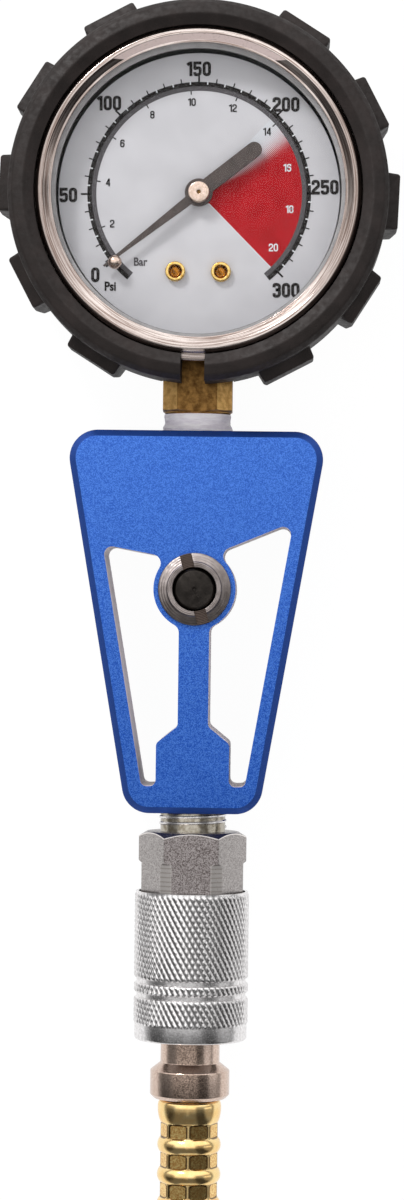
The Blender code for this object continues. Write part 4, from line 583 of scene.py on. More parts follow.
# Finishes: least and greatest roughness, and for a bump its depth and strength
FINISHES = {
    "boot_rubber": (0.52, 0.72, 0.00010, 0.5),
    "seal_rubber": (0.52, 0.72, 0.00010, 0.5),
    "bezel_chrome": (0.13, 0.20, 0.000014, 0.6),
    "case_steel": (0.28, 0.42, 0.00002, 0.6),
    "spring_steel": (0.20, 0.30, 0.00002, 0.6),
    "pointer_black": (0.42, 0.56, 0.00001, 0.6),
    "warm_nickel": (0.14, 0.24, 0.000015, 0.6),
    "turned_steel": (0.38, 0.52, 0.00003, 0.7),
    "button_black": (0.34, 0.46, 0.00004, 0.7),
    "blue_anodised": (0.38, 0.46, 0.00004, 0.7),
    "zinc_steel": (0.16, 0.28, 0.00002, 0.6),
    "plug_nickel": (0.14, 0.24, 0.00002, 0.6),
    "dull_zinc": (0.26, 0.40, 0.00002, 0.6),
    "brass": (0.36, 0.52, 0.00006, 0.6),
    "bright_brass": (0.12, 0.20, 0.00001, 0.6),
    "dished_brass": (0.18, 0.30),
    "clear_lens": (0.02, 0.05),
    "grey_gasket": (0.55, 0.55, 0.00001, 0.4),
    "dial_print": (0.48, 0.48, 0.00001, 0.4),
    "white_tape": (0.55, 0.55, 0.00022, 0.6),
    "ink": (0.55, 0.55),
    "ink_red": (0.50, 0.50),
}

# Values of a noise between which a roughness runs
NOISE_LOW = 0.3
NOISE_HIGH = 0.7
# Sockets of Blender's colour mixing node
MIX_FIRST = 6
MIX_SECOND = 7
# Curve of the usual colour values
FULL = 255
CURVE_KNEE = 0.04045
CURVE_SLOPE = 12.92
CURVE_SHIFT = 0.055
CURVE_POWER = 2.4

# Gloss, cells and blends of single looks
RUBBER_GLOSS = 0.35
DUST_CELLS = 1500
DUST_SIZE = (0.055, 0.030)
DUST_CHOICE = (0.90, 0.93)
FLAT_RANGE = (0.96, 0.99)
NUT_TURNING = 0.00032
BUTTON_TURNING = 0.00022
SCRATCH_SHARE = 0.4
SCUFF_SHEEN_METALLIC = 0.2
ANODISED_GLOSS = 0.25
BLOCK_CELLS = 6000
SPARKLE_RANGE = (0.28, 0.72)
SPARKLE_SHARE = 0.26
WALL_ROUGHNESS = 0.40
FACE_METALLIC = 0.60
# Groove depths over which the knurl's painted shade comes in
KNURL_DARK = (0.60, 1.0)
PLATED_CELLS = 6200
LEVEL_RANGE = (0.2, 0.4)
RING_RANGE = (0.2, 0.9)
TURNED_METALLIC = 0.3
NECK_ROUGHNESS = 0.35
FACET_SHOWN = (0.2, 0.5)
PANEL_RANGE = (0.4, 0.9)
BORDER_RANGE = (0.35, 0.95)
BORDER_SHARE = 0.85
DISH_RANGE = (0.0012, 0.0015)
PAPER_GLOSS = 0.2
INK_GLOSS = 0.15
INK_WEAR = 0.12
RED_GLOSS = 0.1
RED_FADE_START = 0.80
DOT_EDGE = 0.06
TAPE_DEPTH_SHARE = 0.15
TAPE_DEPTH = (0.001, 0.001, 0.001)
TAPE_STRETCH = (1.0, 1.0, 4.0)
LENS_IOR = 1.45


def camera():
    data = bpy.data.cameras.new("camera")
    data.sensor_fit = "VERTICAL"
    data.sensor_height = SENSOR_HEIGHT
    data.lens = SENSOR_HEIGHT * CAMERA_DISTANCE / VIEW_HEIGHT
    made = bpy.data.objects.new("camera", data)
    bpy.context.scene.collection.objects.link(made)
    forward = (CAMERA_AIM - CAMERA_PLACE).normalized()
    right = forward.cross(Vector((-math.sin(CAMERA_ROLL), math.cos(CAMERA_ROLL), 0))).normalized()
    upward = right.cross(forward)
    turn = Matrix((right, upward, -forward)).transposed()
    made.matrix_world = Matrix.Translation(CAMERA_PLACE) @ turn.to_4x4()
    bpy.context.scene.camera = made


class Graph:
    """Shader nodes by short names."""

    def __init__(self, tree):
        self.tree = tree
        self.place = tree.nodes.new("ShaderNodeTexCoord").outputs["Object"]

    def feed(self, socket, value):
        if isinstance(value, bpy.types.NodeSocket):
            self.tree.links.new(value, socket)
        else:
            socket.default_value = value

    def node(self, kind, inputs, **settings):
        made = self.tree.nodes.new(kind)
        for key, value in settings.items():
            setattr(made, key, value)
        for key, value in inputs.items():
            self.feed(made.inputs[key], value)
        return made

    def noise(self, name, stretch=None):
        """A noise of the table, its place stretched where a stretch is given."""
        scale, detail, roughness = NOISES[name][:3]
        place = self.place
        if stretch is not None:
            place = self.node("ShaderNodeVectorMath", {0: place, 1: stretch},
                              operation="MULTIPLY").outputs[0]
        made = self.node("ShaderNodeTexNoise", {"Vector": place, "Scale": scale, "Detail": detail,
                                                "Roughness": roughness})
        return made.outputs["Fac"]

    def cells(self, scale):
        """Distance from the middle of the nearest cell, and a value of the cell's own."""
        made = self.node("ShaderNodeTexVoronoi", {"Vector": self.place, "Scale": scale}).outputs
        own = self.node("ShaderNodeSeparateColor", {"Color": made["Color"]}).outputs[0]
        return made["Distance"], own

    def grains(self, name, cell_scale, share):
        """A noise of the table with this share of cells mixed in."""
        _, own = self.cells(cell_scale)
        fine = self.noise(name)
        return self.plus(self.times(own, share), self.times(fine, 1.0 - share)), fine

    def attribute(self, name):
        return self.node("ShaderNodeAttribute", {}, attribute_name=name).outputs["Fac"]

    def rays(self):
        return self.tree.nodes.new("ShaderNodeLightPath").outputs

    def facing(self, axis):
        """Part of the surface's outward direction along X, Y or Z, given as 0, 1 or 2."""
        shape = self.tree.nodes.new("ShaderNodeNewGeometry")
        return self.node("ShaderNodeSeparateXYZ", {0: shape.outputs["Normal"]}).outputs[axis]

    def facing_up(self):
        """How far the surface faces up, from 0 for a wall to 1."""
        return self.facing(2)

    def split(self):
        made = self.node("ShaderNodeSeparateXYZ", {0: self.place})
        return made.outputs[0], made.outputs[1], made.outputs[2]

    def from_axis(self):
        """Distance from the piece's own Z axis."""
        x, y, _ = self.split()
        return self.maths("SQRT", self.plus(self.times(x, x), self.times(y, y)))

    def maths(self, operation, first, second=0.0, clamp=False):
        made = self.node("ShaderNodeMath", {0: first, 1: second}, operation=operation, use_clamp=clamp)
        return made.outputs[0]

    def chain(self, operation, values):
        result = values[0]
        for value in values[1:]:
            result = self.maths(operation, result, value)
        return result

    def times(self, *values):
        return self.chain("MULTIPLY", values)

    def plus(self, *values):
        return self.chain("ADD", values)

    def minus(self, first, second):
        return self.maths("SUBTRACT", first, second)

    def size(self, value):
        return self.maths("ABSOLUTE", value)

    def between(self, value, start, end, to_start=0.0, to_end=1.0):
        made = self.node("ShaderNodeMapRange", {0: value, 1: start, 2: end, 3: to_start, 4: to_end},
                         interpolation_type="SMOOTHSTEP")
        return made.outputs[0]

    def spread(self, name):
        """A noise of the table, spread from 0 to 1 over its own range."""
        return self.between(self.noise(name), *NOISES[name][3:])

    def mix(self, share, first, second):
        made = self.tree.nodes.new("ShaderNodeMix")
        made.data_type = "RGBA"
        for place, value in ((0, share), (MIX_FIRST, first), (MIX_SECOND, second)):
            self.feed(made.inputs[place], value)
        return made.outputs[2]

    def tone(self, share, name):
        """Mix of the table's two colours of this name."""
        return self.mix(share, *shades(name))

    def bump(self, height, distance, strength):
        made = self.node("ShaderNodeBump", {"Height": height, "Distance": distance, "Strength": strength})
        return made.outputs["Normal"]


class Look(Graph):
    """Material of one glossy or matt shader, with the finish of this name."""

    def __init__(self, name, metallic=0.0, finish=None, **settings):
        self.material = bpy.data.materials.new(name)
        self.material.use_nodes = True
        super().__init__(self.material.node_tree)
        self.sockets = self.tree.nodes["Principled BSDF"].inputs
        self.finish = FINISHES[finish or name]
        self.sockets["Metallic"].default_value = metallic
        self.sockets["Roughness"].default_value = self.finish[0]
        for key, value in settings.items():
            self.sockets[key.replace("_", " ")].default_value = value

    def rough(self, grain):
        """Roughness of the finish, spread over a grain."""
        return self.between(grain, NOISE_LOW, NOISE_HIGH, *self.finish[:2])

    def coat(self, tone, rough=None, height=None, **others):
        """Feed the shader, and hand back the material."""
        fed = {"Base Color": tone, "Roughness": rough, **others}
        if height is not None:
            fed["Normal"] = self.bump(height, *self.finish[2:])
        for name, value in fed.items():
            if value is not None:
                self.feed(self.sockets[name], value)
        return self.material


def shades(name):
    """Linear colours of the table's entry."""
    return [(*[linear(part) for part in entry], 1.0) for entry in TONES[name]]


def shade(name):
    return shades(name)[0]


def linear(part):
    """Light of a part of a colour that is given from 0 to 255."""
    share = part / FULL
    if share < CURVE_KNEE:
        return share / CURVE_SLOPE
    return ((share + CURVE_SHIFT) / (1.0 + CURVE_SHIFT)) ** CURVE_POWER


def rubber_look(name, skin):
    """Matt rubber with a cloudy tone, a fine skin and a few specks of dust."""
    made = Look(name, Specular_IOR_Level=RUBBER_GLOSS)
    distance, own = made.cells(DUST_CELLS)
    dust = made.times(made.between(distance, *DUST_SIZE), made.between(own, *DUST_CHOICE))
    tone = made.mix(dust, made.tone(made.spread("rubber_cloud"), name), shade("dust"))
    return made.coat(tone, made.rough(made.noise("rubber_gloss")), made.noise(skin))


def cloudy_look(name, cloud, grain, metallic=1.0):
    """Metal or lacquer with a cloudy tone and a fine grain."""
    made = Look(name, metallic)
    fine = made.noise(grain)
    return made.coat(made.tone(made.spread(cloud), name), made.rough(fine), fine)


def turned_look(name, kind, pitch, shade_height=None):
    """Metal with fine turning marks round the piece's own Z axis, and painted shade on flats below a height.
    """
    made = Look(name, 1.0, kind, Anisotropic=TURNED_GLOSS)
    _, _, z = made.split()
    wave = made.maths("SINE", made.times(made.plus(made.from_axis(), z), 2 * math.pi / pitch))
    uneven = made.noise("turned_marks")
    tone = made.tone(made.spread("turned_cloud"), kind)
    # Flats below the height, the floor of the slot, get painted shade
    if shade_height is not None:
        below = made.between(z, shade_height, shade_height + FIT / 3, 1.0, 0.0)
        flat_part = made.between(made.facing_up(), *FLAT_RANGE)
        tone = made.mix(made.times(below, flat_part), tone, shade("slot_floor_shade"))
    around = made.node("ShaderNodeTangent", {}, direction_type="RADIAL", axis="Z")
    return made.coat(tone, made.rough(uneven), made.times(wave, uneven), Tangent=around.outputs[0])


def rolled_look(name):
    """Bright metal with fine lines round its own Z axis, a painted dark reflection on its left and right, and
    a scuffed matt stretch of the inner slope whose pale tone is also a painted reflection.
    """
    made = Look(name)
    x, y, z = made.split()
    distance = made.from_axis()
    turn = made.size(made.maths("ARCTAN2", y, x))
    scratches = made.spread("rolled_scratches")
    made.place = made.node("ShaderNodeCombineXYZ", {0: distance, 1: made.times(turn, LINE_RUN),
                                                    2: z}).outputs[0]
    lines = made.noise("rolled_lines")
    dark, _ = shades(name)
    tone = made.tone(made.between(lines, *NOISES["rolled_lines"][3:]), name)
    tone = made.mix(made.times(scratches, SCRATCH_SHARE), tone, dark)
    # Painted dark reflection on the ring's left and right
    dark_reflection = made.between(made.size(x), SIDE_DARK_REFLECTION_FROM, SIDE_DARK_REFLECTION_TO, 0.0, SIDE_DARK_REFLECTION)
    tone = made.mix(dark_reflection, tone, shade("bezel_dark_reflection"))
    on_slope = made.times(made.between(distance, BEZEL_SLOPE_FOOT - FIT / 3, BEZEL_SLOPE_FOOT),
                          made.between(distance, BEZEL_SLOPE_TOP - FIT / 3, BEZEL_SLOPE_TOP, 1.0, 0.0))
    # Scuffed matt stretch at the top of the inner slope: scratches, and a pale tone that is a painted
    # reflection
    scuffed_sheen = made.times(on_slope, made.between(y, SCUFF_SHEEN_START, SCUFF_SHEEN_START + FIT))
    tone = made.mix(scuffed_sheen, tone, made.tone(scratches, "bezel_scuff_and_sheen"))
    return made.coat(tone, made.rough(lines), lines,
                     Metallic=made.between(scuffed_sheen, 0.0, 1.0, 1.0, SCUFF_SHEEN_METALLIC))


def anodised_look(name):
    """Blue anodised aluminium with a sparkling blasted grain, painted lighter towards the top; walls and
    chamfers get painted shade, and window walls a pale painted reflection where seen edge on.
    """
    made = Look(name, Specular_IOR_Level=ANODISED_GLOSS)
    x, y, _ = made.split()
    rise = made.between(y, BLOCK_BOTTOM_Y, BLOCK_TOP_Y)
    rise_up = made.minus(y, BLOCK_BOTTOM_Y)
    # Painted light: the blue is lighter towards the top of the block
    tone = made.tone(rise, name)
    grains, _ = made.grains("block_grain", BLOCK_CELLS, GRAIN_SHARE)
    sparkle = made.between(grains, *SPARKLE_RANGE)
    deep = made.mix(SPARKLE_SHARE, tone, shade("block_deep"))
    pale = made.mix(SPARKLE_SHARE, tone, shade("block_pale"))
    face = made.mix(sparkle, deep, pale)
    edge = made.plus(made.times(rise_up, BLOCK_TAPER), BLOCK_BOTTOM_HALF_WIDTH - WALL_DEPTH)
    inside = made.times(made.between(made.minus(edge, made.size(x)), 0.0, FIT),
                        made.between(rise_up, WALL_DEPTH, WALL_DEPTH + FIT))
    # Pale painted reflection on the walls of the windows where seen edge on
    facing = made.node("ShaderNodeLayerWeight", {"Blend": 0.5}).outputs["Facing"]
    edge_on_reflection = made.times(made.between(facing, EDGE_ON_FROM, EDGE_ON_TO), inside)
    up = made.facing_up()
    # Painted shade: a deeper blue for walls and chamfers, by how far the surface faces up
    from_wall = made.between(up, ANODISED_WALL, ANODISED_CHAMFER)
    side = made.mix(from_wall, made.tone(edge_on_reflection, "block_wall_shade_and_reflection"), shade("block_chamfer_shade"))
    tone = made.mix(made.between(up, ANODISED_SLANT, ANODISED_FACE), side, face)
    matt = made.between(up, ANODISED_WALL, ANODISED_CHAMFER, WALL_ROUGHNESS, 0.0)
    matt = made.times(matt, made.minus(1.0, edge_on_reflection))
    return made.coat(tone, made.plus(made.rough(made.noise("block_gloss")), matt), grains,
                     Metallic=made.between(up, ANODISED_WALL, ANODISED_CHAMFER, 0.0, FACE_METALLIC))


def knurled_look(name):
    """Bright zinc with painted shade in its knurled grooves."""
    made = Look(name, 1.0)
    tone = made.tone(made.spread("knurl_cloud"), name)
    # Painted shade: the deeper the knurl's groove, the darker
    groove = made.between(made.attribute(GROOVE), *KNURL_DARK)
    fine = made.noise("knurl_grain")
    return made.coat(made.mix(groove, tone, shade("knurl_groove_shade")), made.rough(fine), fine)


def plated_tone(made, front, side):
    """Speckled tone with painted light, darker where the metal faces up and lighter on its sides, and the
    noise used.
    """
    grains, fine = made.grains("plated_grain", PLATED_CELLS, PLATED_GRAINS)
    speckle = made.between(grains, NOISE_LOW, NOISE_HIGH)
    # Painted light: shaded tone where the metal faces up, lit tone on its sides
    up = made.between(made.facing_up(), PLATED_SIDE, PLATED_FRONT)
    return made.mix(up, made.tone(speckle, side), made.tone(speckle, front)), fine


def plated_look(name):
    """Plated metal of the plug."""
    made = Look(name, 1.0)
    tone, fine = plated_tone(made, "plug_front_shaded", "plug_side_lit")
    return made.coat(tone, made.rough(fine), fine)


def hexagon_look(name):
    """Dull zinc: darker where it faces up and lighter on its sides as painted light, worn bright along the
    chamfer's edge with a painted glint, paler where turned, glossy on the neck.
    """
    made = Look(name)
    _, _, along = made.split()
    distance = made.from_axis()
    tone, fine = plated_tone(made, "hex_front_shaded", "hex_side_lit")
    chamfer_rise = (HEX_BLANK - HEX_HALF + HEX_FACE_DROP) / HEX_CHAMFER
    cone = made.plus(made.times(along, chamfer_rise), HEX_HALF - HEX_FACE_DROP - NECK_END * chamfer_rise)
    # Bright line along the chamfer's edge: wear, and a painted glint of the edge
    worn = made.times(made.between(made.minus(cone, distance), WORN_GLINT_LINE / 2, WORN_GLINT_LINE, 1.0, 0.0),
                      made.between(made.size(made.facing(1)), *LEVEL_RANGE, 1.0, 0.0))
    tone = made.mix(worn, tone, shade("hex_worn_glint"))
    off = made.size(made.minus(distance, HEX_TURNED_RADIUS))
    turned = made.times(made.between(off, FIT / 5, FIT / 3, 1.0, 0.0),
                        made.between(along, HEX_END, HEX_END + FIT))
    rings = made.maths("SINE", made.times(along, 2 * math.pi / TURNED_PITCH))
    tone = made.mix(turned, tone, made.tone(made.between(rings, *RING_RANGE), "hex_turned"))
    neck = made.between(along, NECK_END - FIT / 3, NECK_END, 1.0, 0.0)
    tone = made.mix(neck, tone, made.tone(made.spread("neck_cloud"), "neck"))
    rough = made.times(made.rough(fine), made.between(neck, 0.0, 1.0, 1.0, NECK_ROUGHNESS))
    return made.coat(tone, rough, fine, Metallic=made.between(turned, 0.0, 1.0, 1.0, TURNED_METALLIC))


def cast_brass_look(name):
    """Rough brass whose slanting, machined facets are painted brighter as painted light."""
    made = Look(name, 1.0)
    cloud = made.spread("brass_cloud")
    # Painted light: the slanting facets get a brighter tone
    steep = made.times(made.between(made.facing_up(), FACET_STEEP, FACET_FLAT, 1.0, 0.0),
                       made.between(made.facing_up(), *FACET_SHOWN))
    fine = made.noise("brass_grain")
    tone = made.mix(steep, made.tone(cloud, name), made.tone(cloud, "brass_facet_lit"))
    return made.coat(tone, made.rough(fine), fine)


def crimped_look(name):
    """Bright brass, pale on the bulges as a painted highlight and deeper in the pressed panels as painted
    shade, with painted shade round each panel.
    """
    made = Look(name, 1.0)
    # Painted shade in the pressed panels, against the pale bulges
    tone = made.mix(made.between(made.attribute(PANEL), *PANEL_RANGE),
                    made.tone(made.spread("ferrule_cloud"), name),
                    made.tone(made.spread("ferrule_spots"), "ferrule_panel_shade"))
    # Painted shade round each panel
    border = made.between(made.attribute(GROOVE), *BORDER_RANGE, 0.0, BORDER_SHARE)
    fine = made.noise("ferrule_grain")
    return made.coat(made.mix(border, tone, shade("ferrule_border_shade")), made.rough(fine), fine)


def dished_look(name):
    """Brass with painted shade in the middle of the dish."""
    made = Look(name, 1.0)
    cloud = made.spread("dish_cloud")
    # Painted shade in the dish's hollow, brighter rim outside it
    tone = made.mix(made.between(made.from_axis(), *DISH_RANGE), made.tone(cloud, name),
                    made.tone(cloud, "screw_rim"))
    return made.coat(tone, made.rough(made.noise("dish_gloss")))


def gasket_look(name):
    """Grey ring with painted shade along its inner edge, by the gap at the dial."""
    made = Look(name)
    edge = DIAL_RADIUS + GASKET_SHADE_WIDTH
    grey = made.tone(made.spread("gasket_cloud"), name)
    # Painted shade at the inner edge, by the dial
    tone = made.mix(made.between(made.from_axis(), edge, edge + FIT / 2), shade("gasket_edge_shade"), grey)
    return made.coat(tone, height=made.noise("gasket_skin"))


def paper_look(name):
    """Printed face of the dial, with a faint unevenness."""
    made = Look(name, Specular_IOR_Level=PAPER_GLOSS)
    return made.coat(made.tone(made.spread("paper_cloud"), name), height=made.noise("paper_skin"))


def ink_look(name):
    """Ink that is a little worn in places."""
    made = Look(name, finish="ink", Specular_IOR_Level=INK_GLOSS)
    ink = shade(name)
    return made.coat(made.mix(made.spread("ink_wear"), ink, made.mix(INK_WEAR, ink, shade("ink_worn"))))


def red_look(name):
    """Red sector of the dial that breaks up into dots towards its upper end."""
    made = Look(name, Specular_IOR_Level=RED_GLOSS)
    x, y, _ = made.split()
    angle = made.maths("DEGREES", made.maths("ARCTAN2", y, x))
    past = made.minus(angle, made.times(RED_LEAN, made.from_axis()))
    fade = made.between(past, RED_SOLID_END, RED_SOLID_END + RED_FADE_WIDTH, RED_FADE_START, 0.0)
    parts = []
    for value in (made.plus(x, y), made.minus(x, y)):
        share = made.maths("FRACT", made.maths("DIVIDE", value, HALFTONE_PITCH))
        part = made.minus(share, 0.5)
        parts.append(made.times(part, part))
    distance = made.maths("SQRT", made.plus(*parts))
    dot = made.between(made.minus(fade, distance), -DOT_EDGE, DOT_EDGE)
    return made.coat(made.mix(dot, shade("red_paper"), made.tone(made.spread("red_cloud"), name)))


def tape_look(name):
    """White tape that lets a little light in."""
    made = Look(name, Subsurface_Weight=TAPE_DEPTH_SHARE, Subsurface_Radius=TAPE_DEPTH)
    folds = made.noise("tape_folds", TAPE_STRETCH)
    return made.coat(made.tone(made.between(folds, NOISE_LOW, NOISE_HIGH), name), height=folds)


def lens_look(name):
    """Clear disc that only shows its gloss."""
    made = Look(name, 1.0)
    fresnel = made.node("ShaderNodeFresnel", {"IOR": LENS_IOR}).outputs[0]
    return made.coat(made.tone(made.noise("lens_cloud"), name), made.rough(made.noise("lens_gloss")),
                     Alpha=made.times(fresnel, LENS_GLOSS))


def make_looks():
    """One look for each material slot of the record, and those that only pieces of this script have."""
    looks = {
        "boot_rubber": rubber_look("boot_rubber", "boot_skin"),
        "seal_rubber": rubber_look("seal_rubber", "seal_skin"),
        "case_steel": cloudy_look("case_steel", "steel_cloud", "steel_grain"),
        "spring_steel": cloudy_look("spring_steel", "steel_cloud", "steel_grain"),
        "pointer_black": cloudy_look("pointer_black", "pointer_cloud", "pointer_grain", 0.0),
        "warm_nickel": cloudy_look("warm_nickel", "nickel_cloud", "nickel_grain"),
        "turned_steel": turned_look("turned_steel", "turned_steel", NUT_TURNING),
        "slotted_steel": turned_look("slotted_steel", "turned_steel", NUT_TURNING,
                                     NUT_TOP - NUT_SLOT_DEPTH / 2),
        "button_black": turned_look("button_black", "button_black", BUTTON_TURNING),
    }
    for name, make in (("bezel_chrome", rolled_look), ("clear_lens", lens_look), ("grey_gasket", gasket_look),
                       ("dial_print", paper_look), ("brass", cast_brass_look), ("bright_brass", crimped_look),
                       ("dished_brass", dished_look), ("white_tape", tape_look),
                       ("blue_anodised", anodised_look), ("zinc_steel", knurled_look),
                       ("dull_zinc", hexagon_look), ("plug_nickel", plated_look), ("ink_black", ink_look),
                       ("ink_grey", ink_look), ("ink_white", ink_look), ("ink_red", red_look)):
        looks[name] = make(name)
    return looks


def softened(points, radius, steps=FILLET_STEPS, closed=False):
    """The path with an arc at each corner; a point's third value is its own radius."""
    result = []
    for index, point in enumerate(points):
        here = Vector(point[:2])
        own = point[2] if len(point) > 2 else radius
        at_end = not closed and index in (0, len(points) - 1)
        if own == 0 or at_end:
            result.append(tuple(here))
            continue
        before = Vector(points[index - 1][:2]) - here
        after = Vector(points[(index + 1) % len(points)][:2]) - here
        half = before.angle(after) / 2
        reach = min(own / math.tan(half), FILLET_SHARE * min(before.length, after.length))
        size = reach * math.tan(half)
        centre = here + (before.normalized() + after.normalized()).normalized() * size / math.sin(half)
        first = here + before.normalized() * reach - centre
        turn = first.angle_signed(here + after.normalized() * reach - centre)
        for step in range(steps + 1):
            spoke = first.copy()
            spoke.rotate(Matrix.Rotation(-turn * step / steps, 2))
            result.append(tuple(centre + spoke))
    return result


def divided(points, longest):
    """The path with its long stretches cut into equal steps."""
    result = [points[0]]
    for start, end in zip(points, points[1:]):
        length = math.dist(start, end)
        count = max(1, math.ceil(length / longest))
        for step in range(1, count + 1):
            share = step / count
            result.append((start[0] + (end[0] - start[0]) * share, start[1] + (end[1] - start[1]) * share))
    return result


def polar(distance, angle, centre=(0, 0)):
    return (centre[0] + distance * math.cos(angle), centre[1] + distance * math.sin(angle))


def arc(centre, radius, first, last, steps):
    """Points along an arc, both ends included."""
    return [polar(radius, first + (last - first) * step / steps, centre) for step in range(steps + 1)]


def smooth_step(value):
    share = min(1.0, max(0.0, value))
    return share * share * (3 - 2 * share)


def stitch(rings, closed=False):
    """A body from rings of points; a ring of one point closes it there."""
    shape = bmesh.new()
    made = [[shape.verts.new(point) for point in ring] for ring in rings]
    count = max(len(ring) for ring in made)
    pairs = list(zip(made, made[1:]))
    if closed:
        pairs.append((made[-1], made[0]))
    for lower, upper in pairs:
        for index in range(count):
            corners = []
            for ring, place in ((lower, index), (lower, index + 1), (upper, index + 1), (upper, index)):
                vertex = ring[place % len(ring)]
                if vertex not in corners:
                    corners.append(vertex)
            if len(corners) > 2:
                shape.faces.new(corners)
    if not closed:
        for ring in (made[0], made[-1]):
            if len(ring) > 1:
                shape.faces.new(ring)
    return shape


def hoop(radius, height, count):
    """Points evenly round a circle."""
    return [(*polar(radius, step * 2 * math.pi / count), height) for step in range(count)]


def lathe(profile, count=FINE_ROUND):
    """A body turned about Z from (radius, height) points; off the axis, its ends join."""
    rings = []
    for radius, height in profile:
        if radius < ON_AXIS:
            rings.append([(0, 0, height)])
        else:
            rings.append(hoop(radius, height, count))
    on_axis = min(profile[0][0], profile[-1][0]) < ON_AXIS
    return stitch(rings, closed=not on_axis)


def extruded(outline, bottom, top):
    return stitch([[(x, y, bottom) for x, y in outline], [(x, y, top) for x, y in outline]])


def block_of(x_low, x_high, y_low, y_high, z_low, z_high):
    return extruded([(x_low, y_low), (x_high, y_low), (x_high, y_high), (x_low, y_high)], z_low, z_high)


def as_object(name, shape, place=(0, 0, 0), turn=(0, 0, 0)):
    bmesh.ops.recalc_face_normals(shape, faces=shape.faces)
    mesh = bpy.data.meshes.new(name)
    shape.to_mesh(mesh)
    shape.free()
    made = bpy.data.objects.new(name, mesh)
    made.location = place
    made.rotation_euler = turn
    bpy.context.scene.collection.objects.link(made)
    return made


def carve(target, cutter, operation="DIFFERENCE"):
    """Cut the target by the cutter, or keep what they share, and remove the cutter."""
    step = target.modifiers.new("carve", "BOOLEAN")
    step.operation = operation
    step.solver = "EXACT"
    step.object = cutter
    bpy.context.view_layer.update()
    result = target.evaluated_get(bpy.context.evaluated_depsgraph_get())
    target.data = bpy.data.meshes.new_from_object(result)
    target.modifiers.clear()
    bpy.data.objects.remove(cutter, do_unlink=True)


def dress(made, look_used, body, slot, *nodes):
    """Give a piece its look, shading and body, and hide the nodes that it stands for; its slot is not used.
    """
    made.data.materials.clear()
    made.data.materials.append(look_used)
    made.data.shade_smooth()
    made.data.set_sharp_from_angle(angle=SMOOTH_ANGLE)
    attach(made, body)
    if nodes:
        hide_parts(*nodes)
    return made


def studio():
    """World, dome, key light and floor."""
    world = bpy.data.worlds.new("studio")
    world.use_nodes = True
    bpy.context.scene.world = world
    graph = Graph(world.node_tree)
    background = world.node_tree.nodes["Background"]
    background.inputs["Color"].default_value = (1, 1, 1, 1)
    graph.feed(background.inputs["Strength"],
               graph.between(seen_or_mirrored(graph), 0.0, 1.0, WORLD_DIM, 1.0))

    rings = []
    for step in range(DOME_RINGS):
        height = math.pi / 2 * step / DOME_RINGS
        rings.append(hoop(DOME_RADIUS * math.cos(height), DOME_RADIUS * math.sin(height), SMALL_ROUND))
    rings.append([(0, 0, DOME_RADIUS)])
    shell = stitch(rings)
    bottom = max(shell.faces, key=lambda face: len(face.verts))
    bmesh.ops.delete(shell, geom=[bottom], context="FACES_ONLY")
    dome = as_object("studio_dome", shell)
    dome.data.shade_smooth()
    dome.data.materials.append(dome_look())
    dome.visible_camera = False
    dome.visible_shadow = False
    dome.visible_transmission = False

    floor = as_object("studio_floor", flat([(-FLOOR_HALF, -FLOOR_HALF), (FLOOR_HALF, -FLOOR_HALF),
                                            (FLOOR_HALF, FLOOR_HALF), (-FLOOR_HALF, FLOOR_HALF)], 0))
    floor.data.materials.append(floor_look())

    data = bpy.data.lights.new("key", "AREA")
    data.shape = "SQUARE"
    data.size = KEY_SIZE
    data.energy = KEY_POWER
    key = bpy.data.objects.new("key", data)
    bpy.context.scene.collection.objects.link(key)
    toward = Vector((math.cos(KEY_AZIMUTH) * math.cos(KEY_ELEVATION),
                     math.sin(KEY_AZIMUTH) * math.cos(KEY_ELEVATION), math.sin(KEY_ELEVATION)))
    key.location = GAUGE / 2 + toward * KEY_DISTANCE
    key.rotation_mode = "QUATERNION"
    key.rotation_quaternion = toward.to_track_quat("Z", "Y")


def seen_or_mirrored(graph):
    """1 for rays from the camera, from gloss and through glass, and 0 for those that light things."""
    rays = graph.rays()
    seen = graph.plus(rays["Is Camera Ray"], rays["Is Glossy Ray"])
    return graph.maths("ADD", seen, rays["Is Transmission Ray"], clamp=True)


def bare_look(name):
    """A material whose own shader is taken out, and its graph."""
    made = bpy.data.materials.new(name)
    made.use_nodes = True
    made.node_tree.nodes.remove(made.node_tree.nodes["Principled BSDF"])
    return made, Graph(made.node_tree)


def glow(graph, plain, mirrored):
    """Light of one strength for gloss and of another for all other rays."""
    level = graph.node("ShaderNodeMix", {0: graph.rays()["Is Glossy Ray"], 2: plain, 3: mirrored},
                       data_type="FLOAT")
    return graph.node("ShaderNodeEmission", {"Strength": level.outputs[0]}).outputs[0]


def show(made, graph, shader):
    """Send the shader to the material's surface."""
    graph.feed(made.node_tree.nodes["Material Output"].inputs["Surface"], shader)
    return made


def dome_look():
    """Even dome for the light; mirrored, it is bright ahead, with a card and a streak near the foot."""
    made, graph = bare_look("dome")
    x, y, z = [graph.maths("DIVIDE", part, DOME_RADIUS) for part in graph.split()]
    lost = graph.times(graph.between(graph.size(graph.plus(x, SIDE_PLACE)), *SIDE_LOSS),
                       graph.between(y, *SIDE_FADE))
    ahead = graph.times(graph.between(y, *AHEAD), graph.minus(1.0, lost))
    gained = graph.times(graph.between(x, *RIGHT_GAIN), graph.between(y, *RIGHT_FADE),
                         graph.between(y, *RIGHT_LOW))
    card = graph.times(graph.between(y, *FRONT_CARD), graph.between(graph.size(x), *FRONT_CARD_SIDES))
    streak = graph.times(graph.between(graph.size(graph.plus(x, STREAK_PLACE)), *STREAK),
                         graph.between(y, *STREAK_START), graph.between(y, *STREAK_END))
    mirrored = graph.plus(ahead, gained, graph.plus(card, streak))
    return show(made, graph, glow(graph, graph.between(z, *DOME_LIGHT), mirrored))


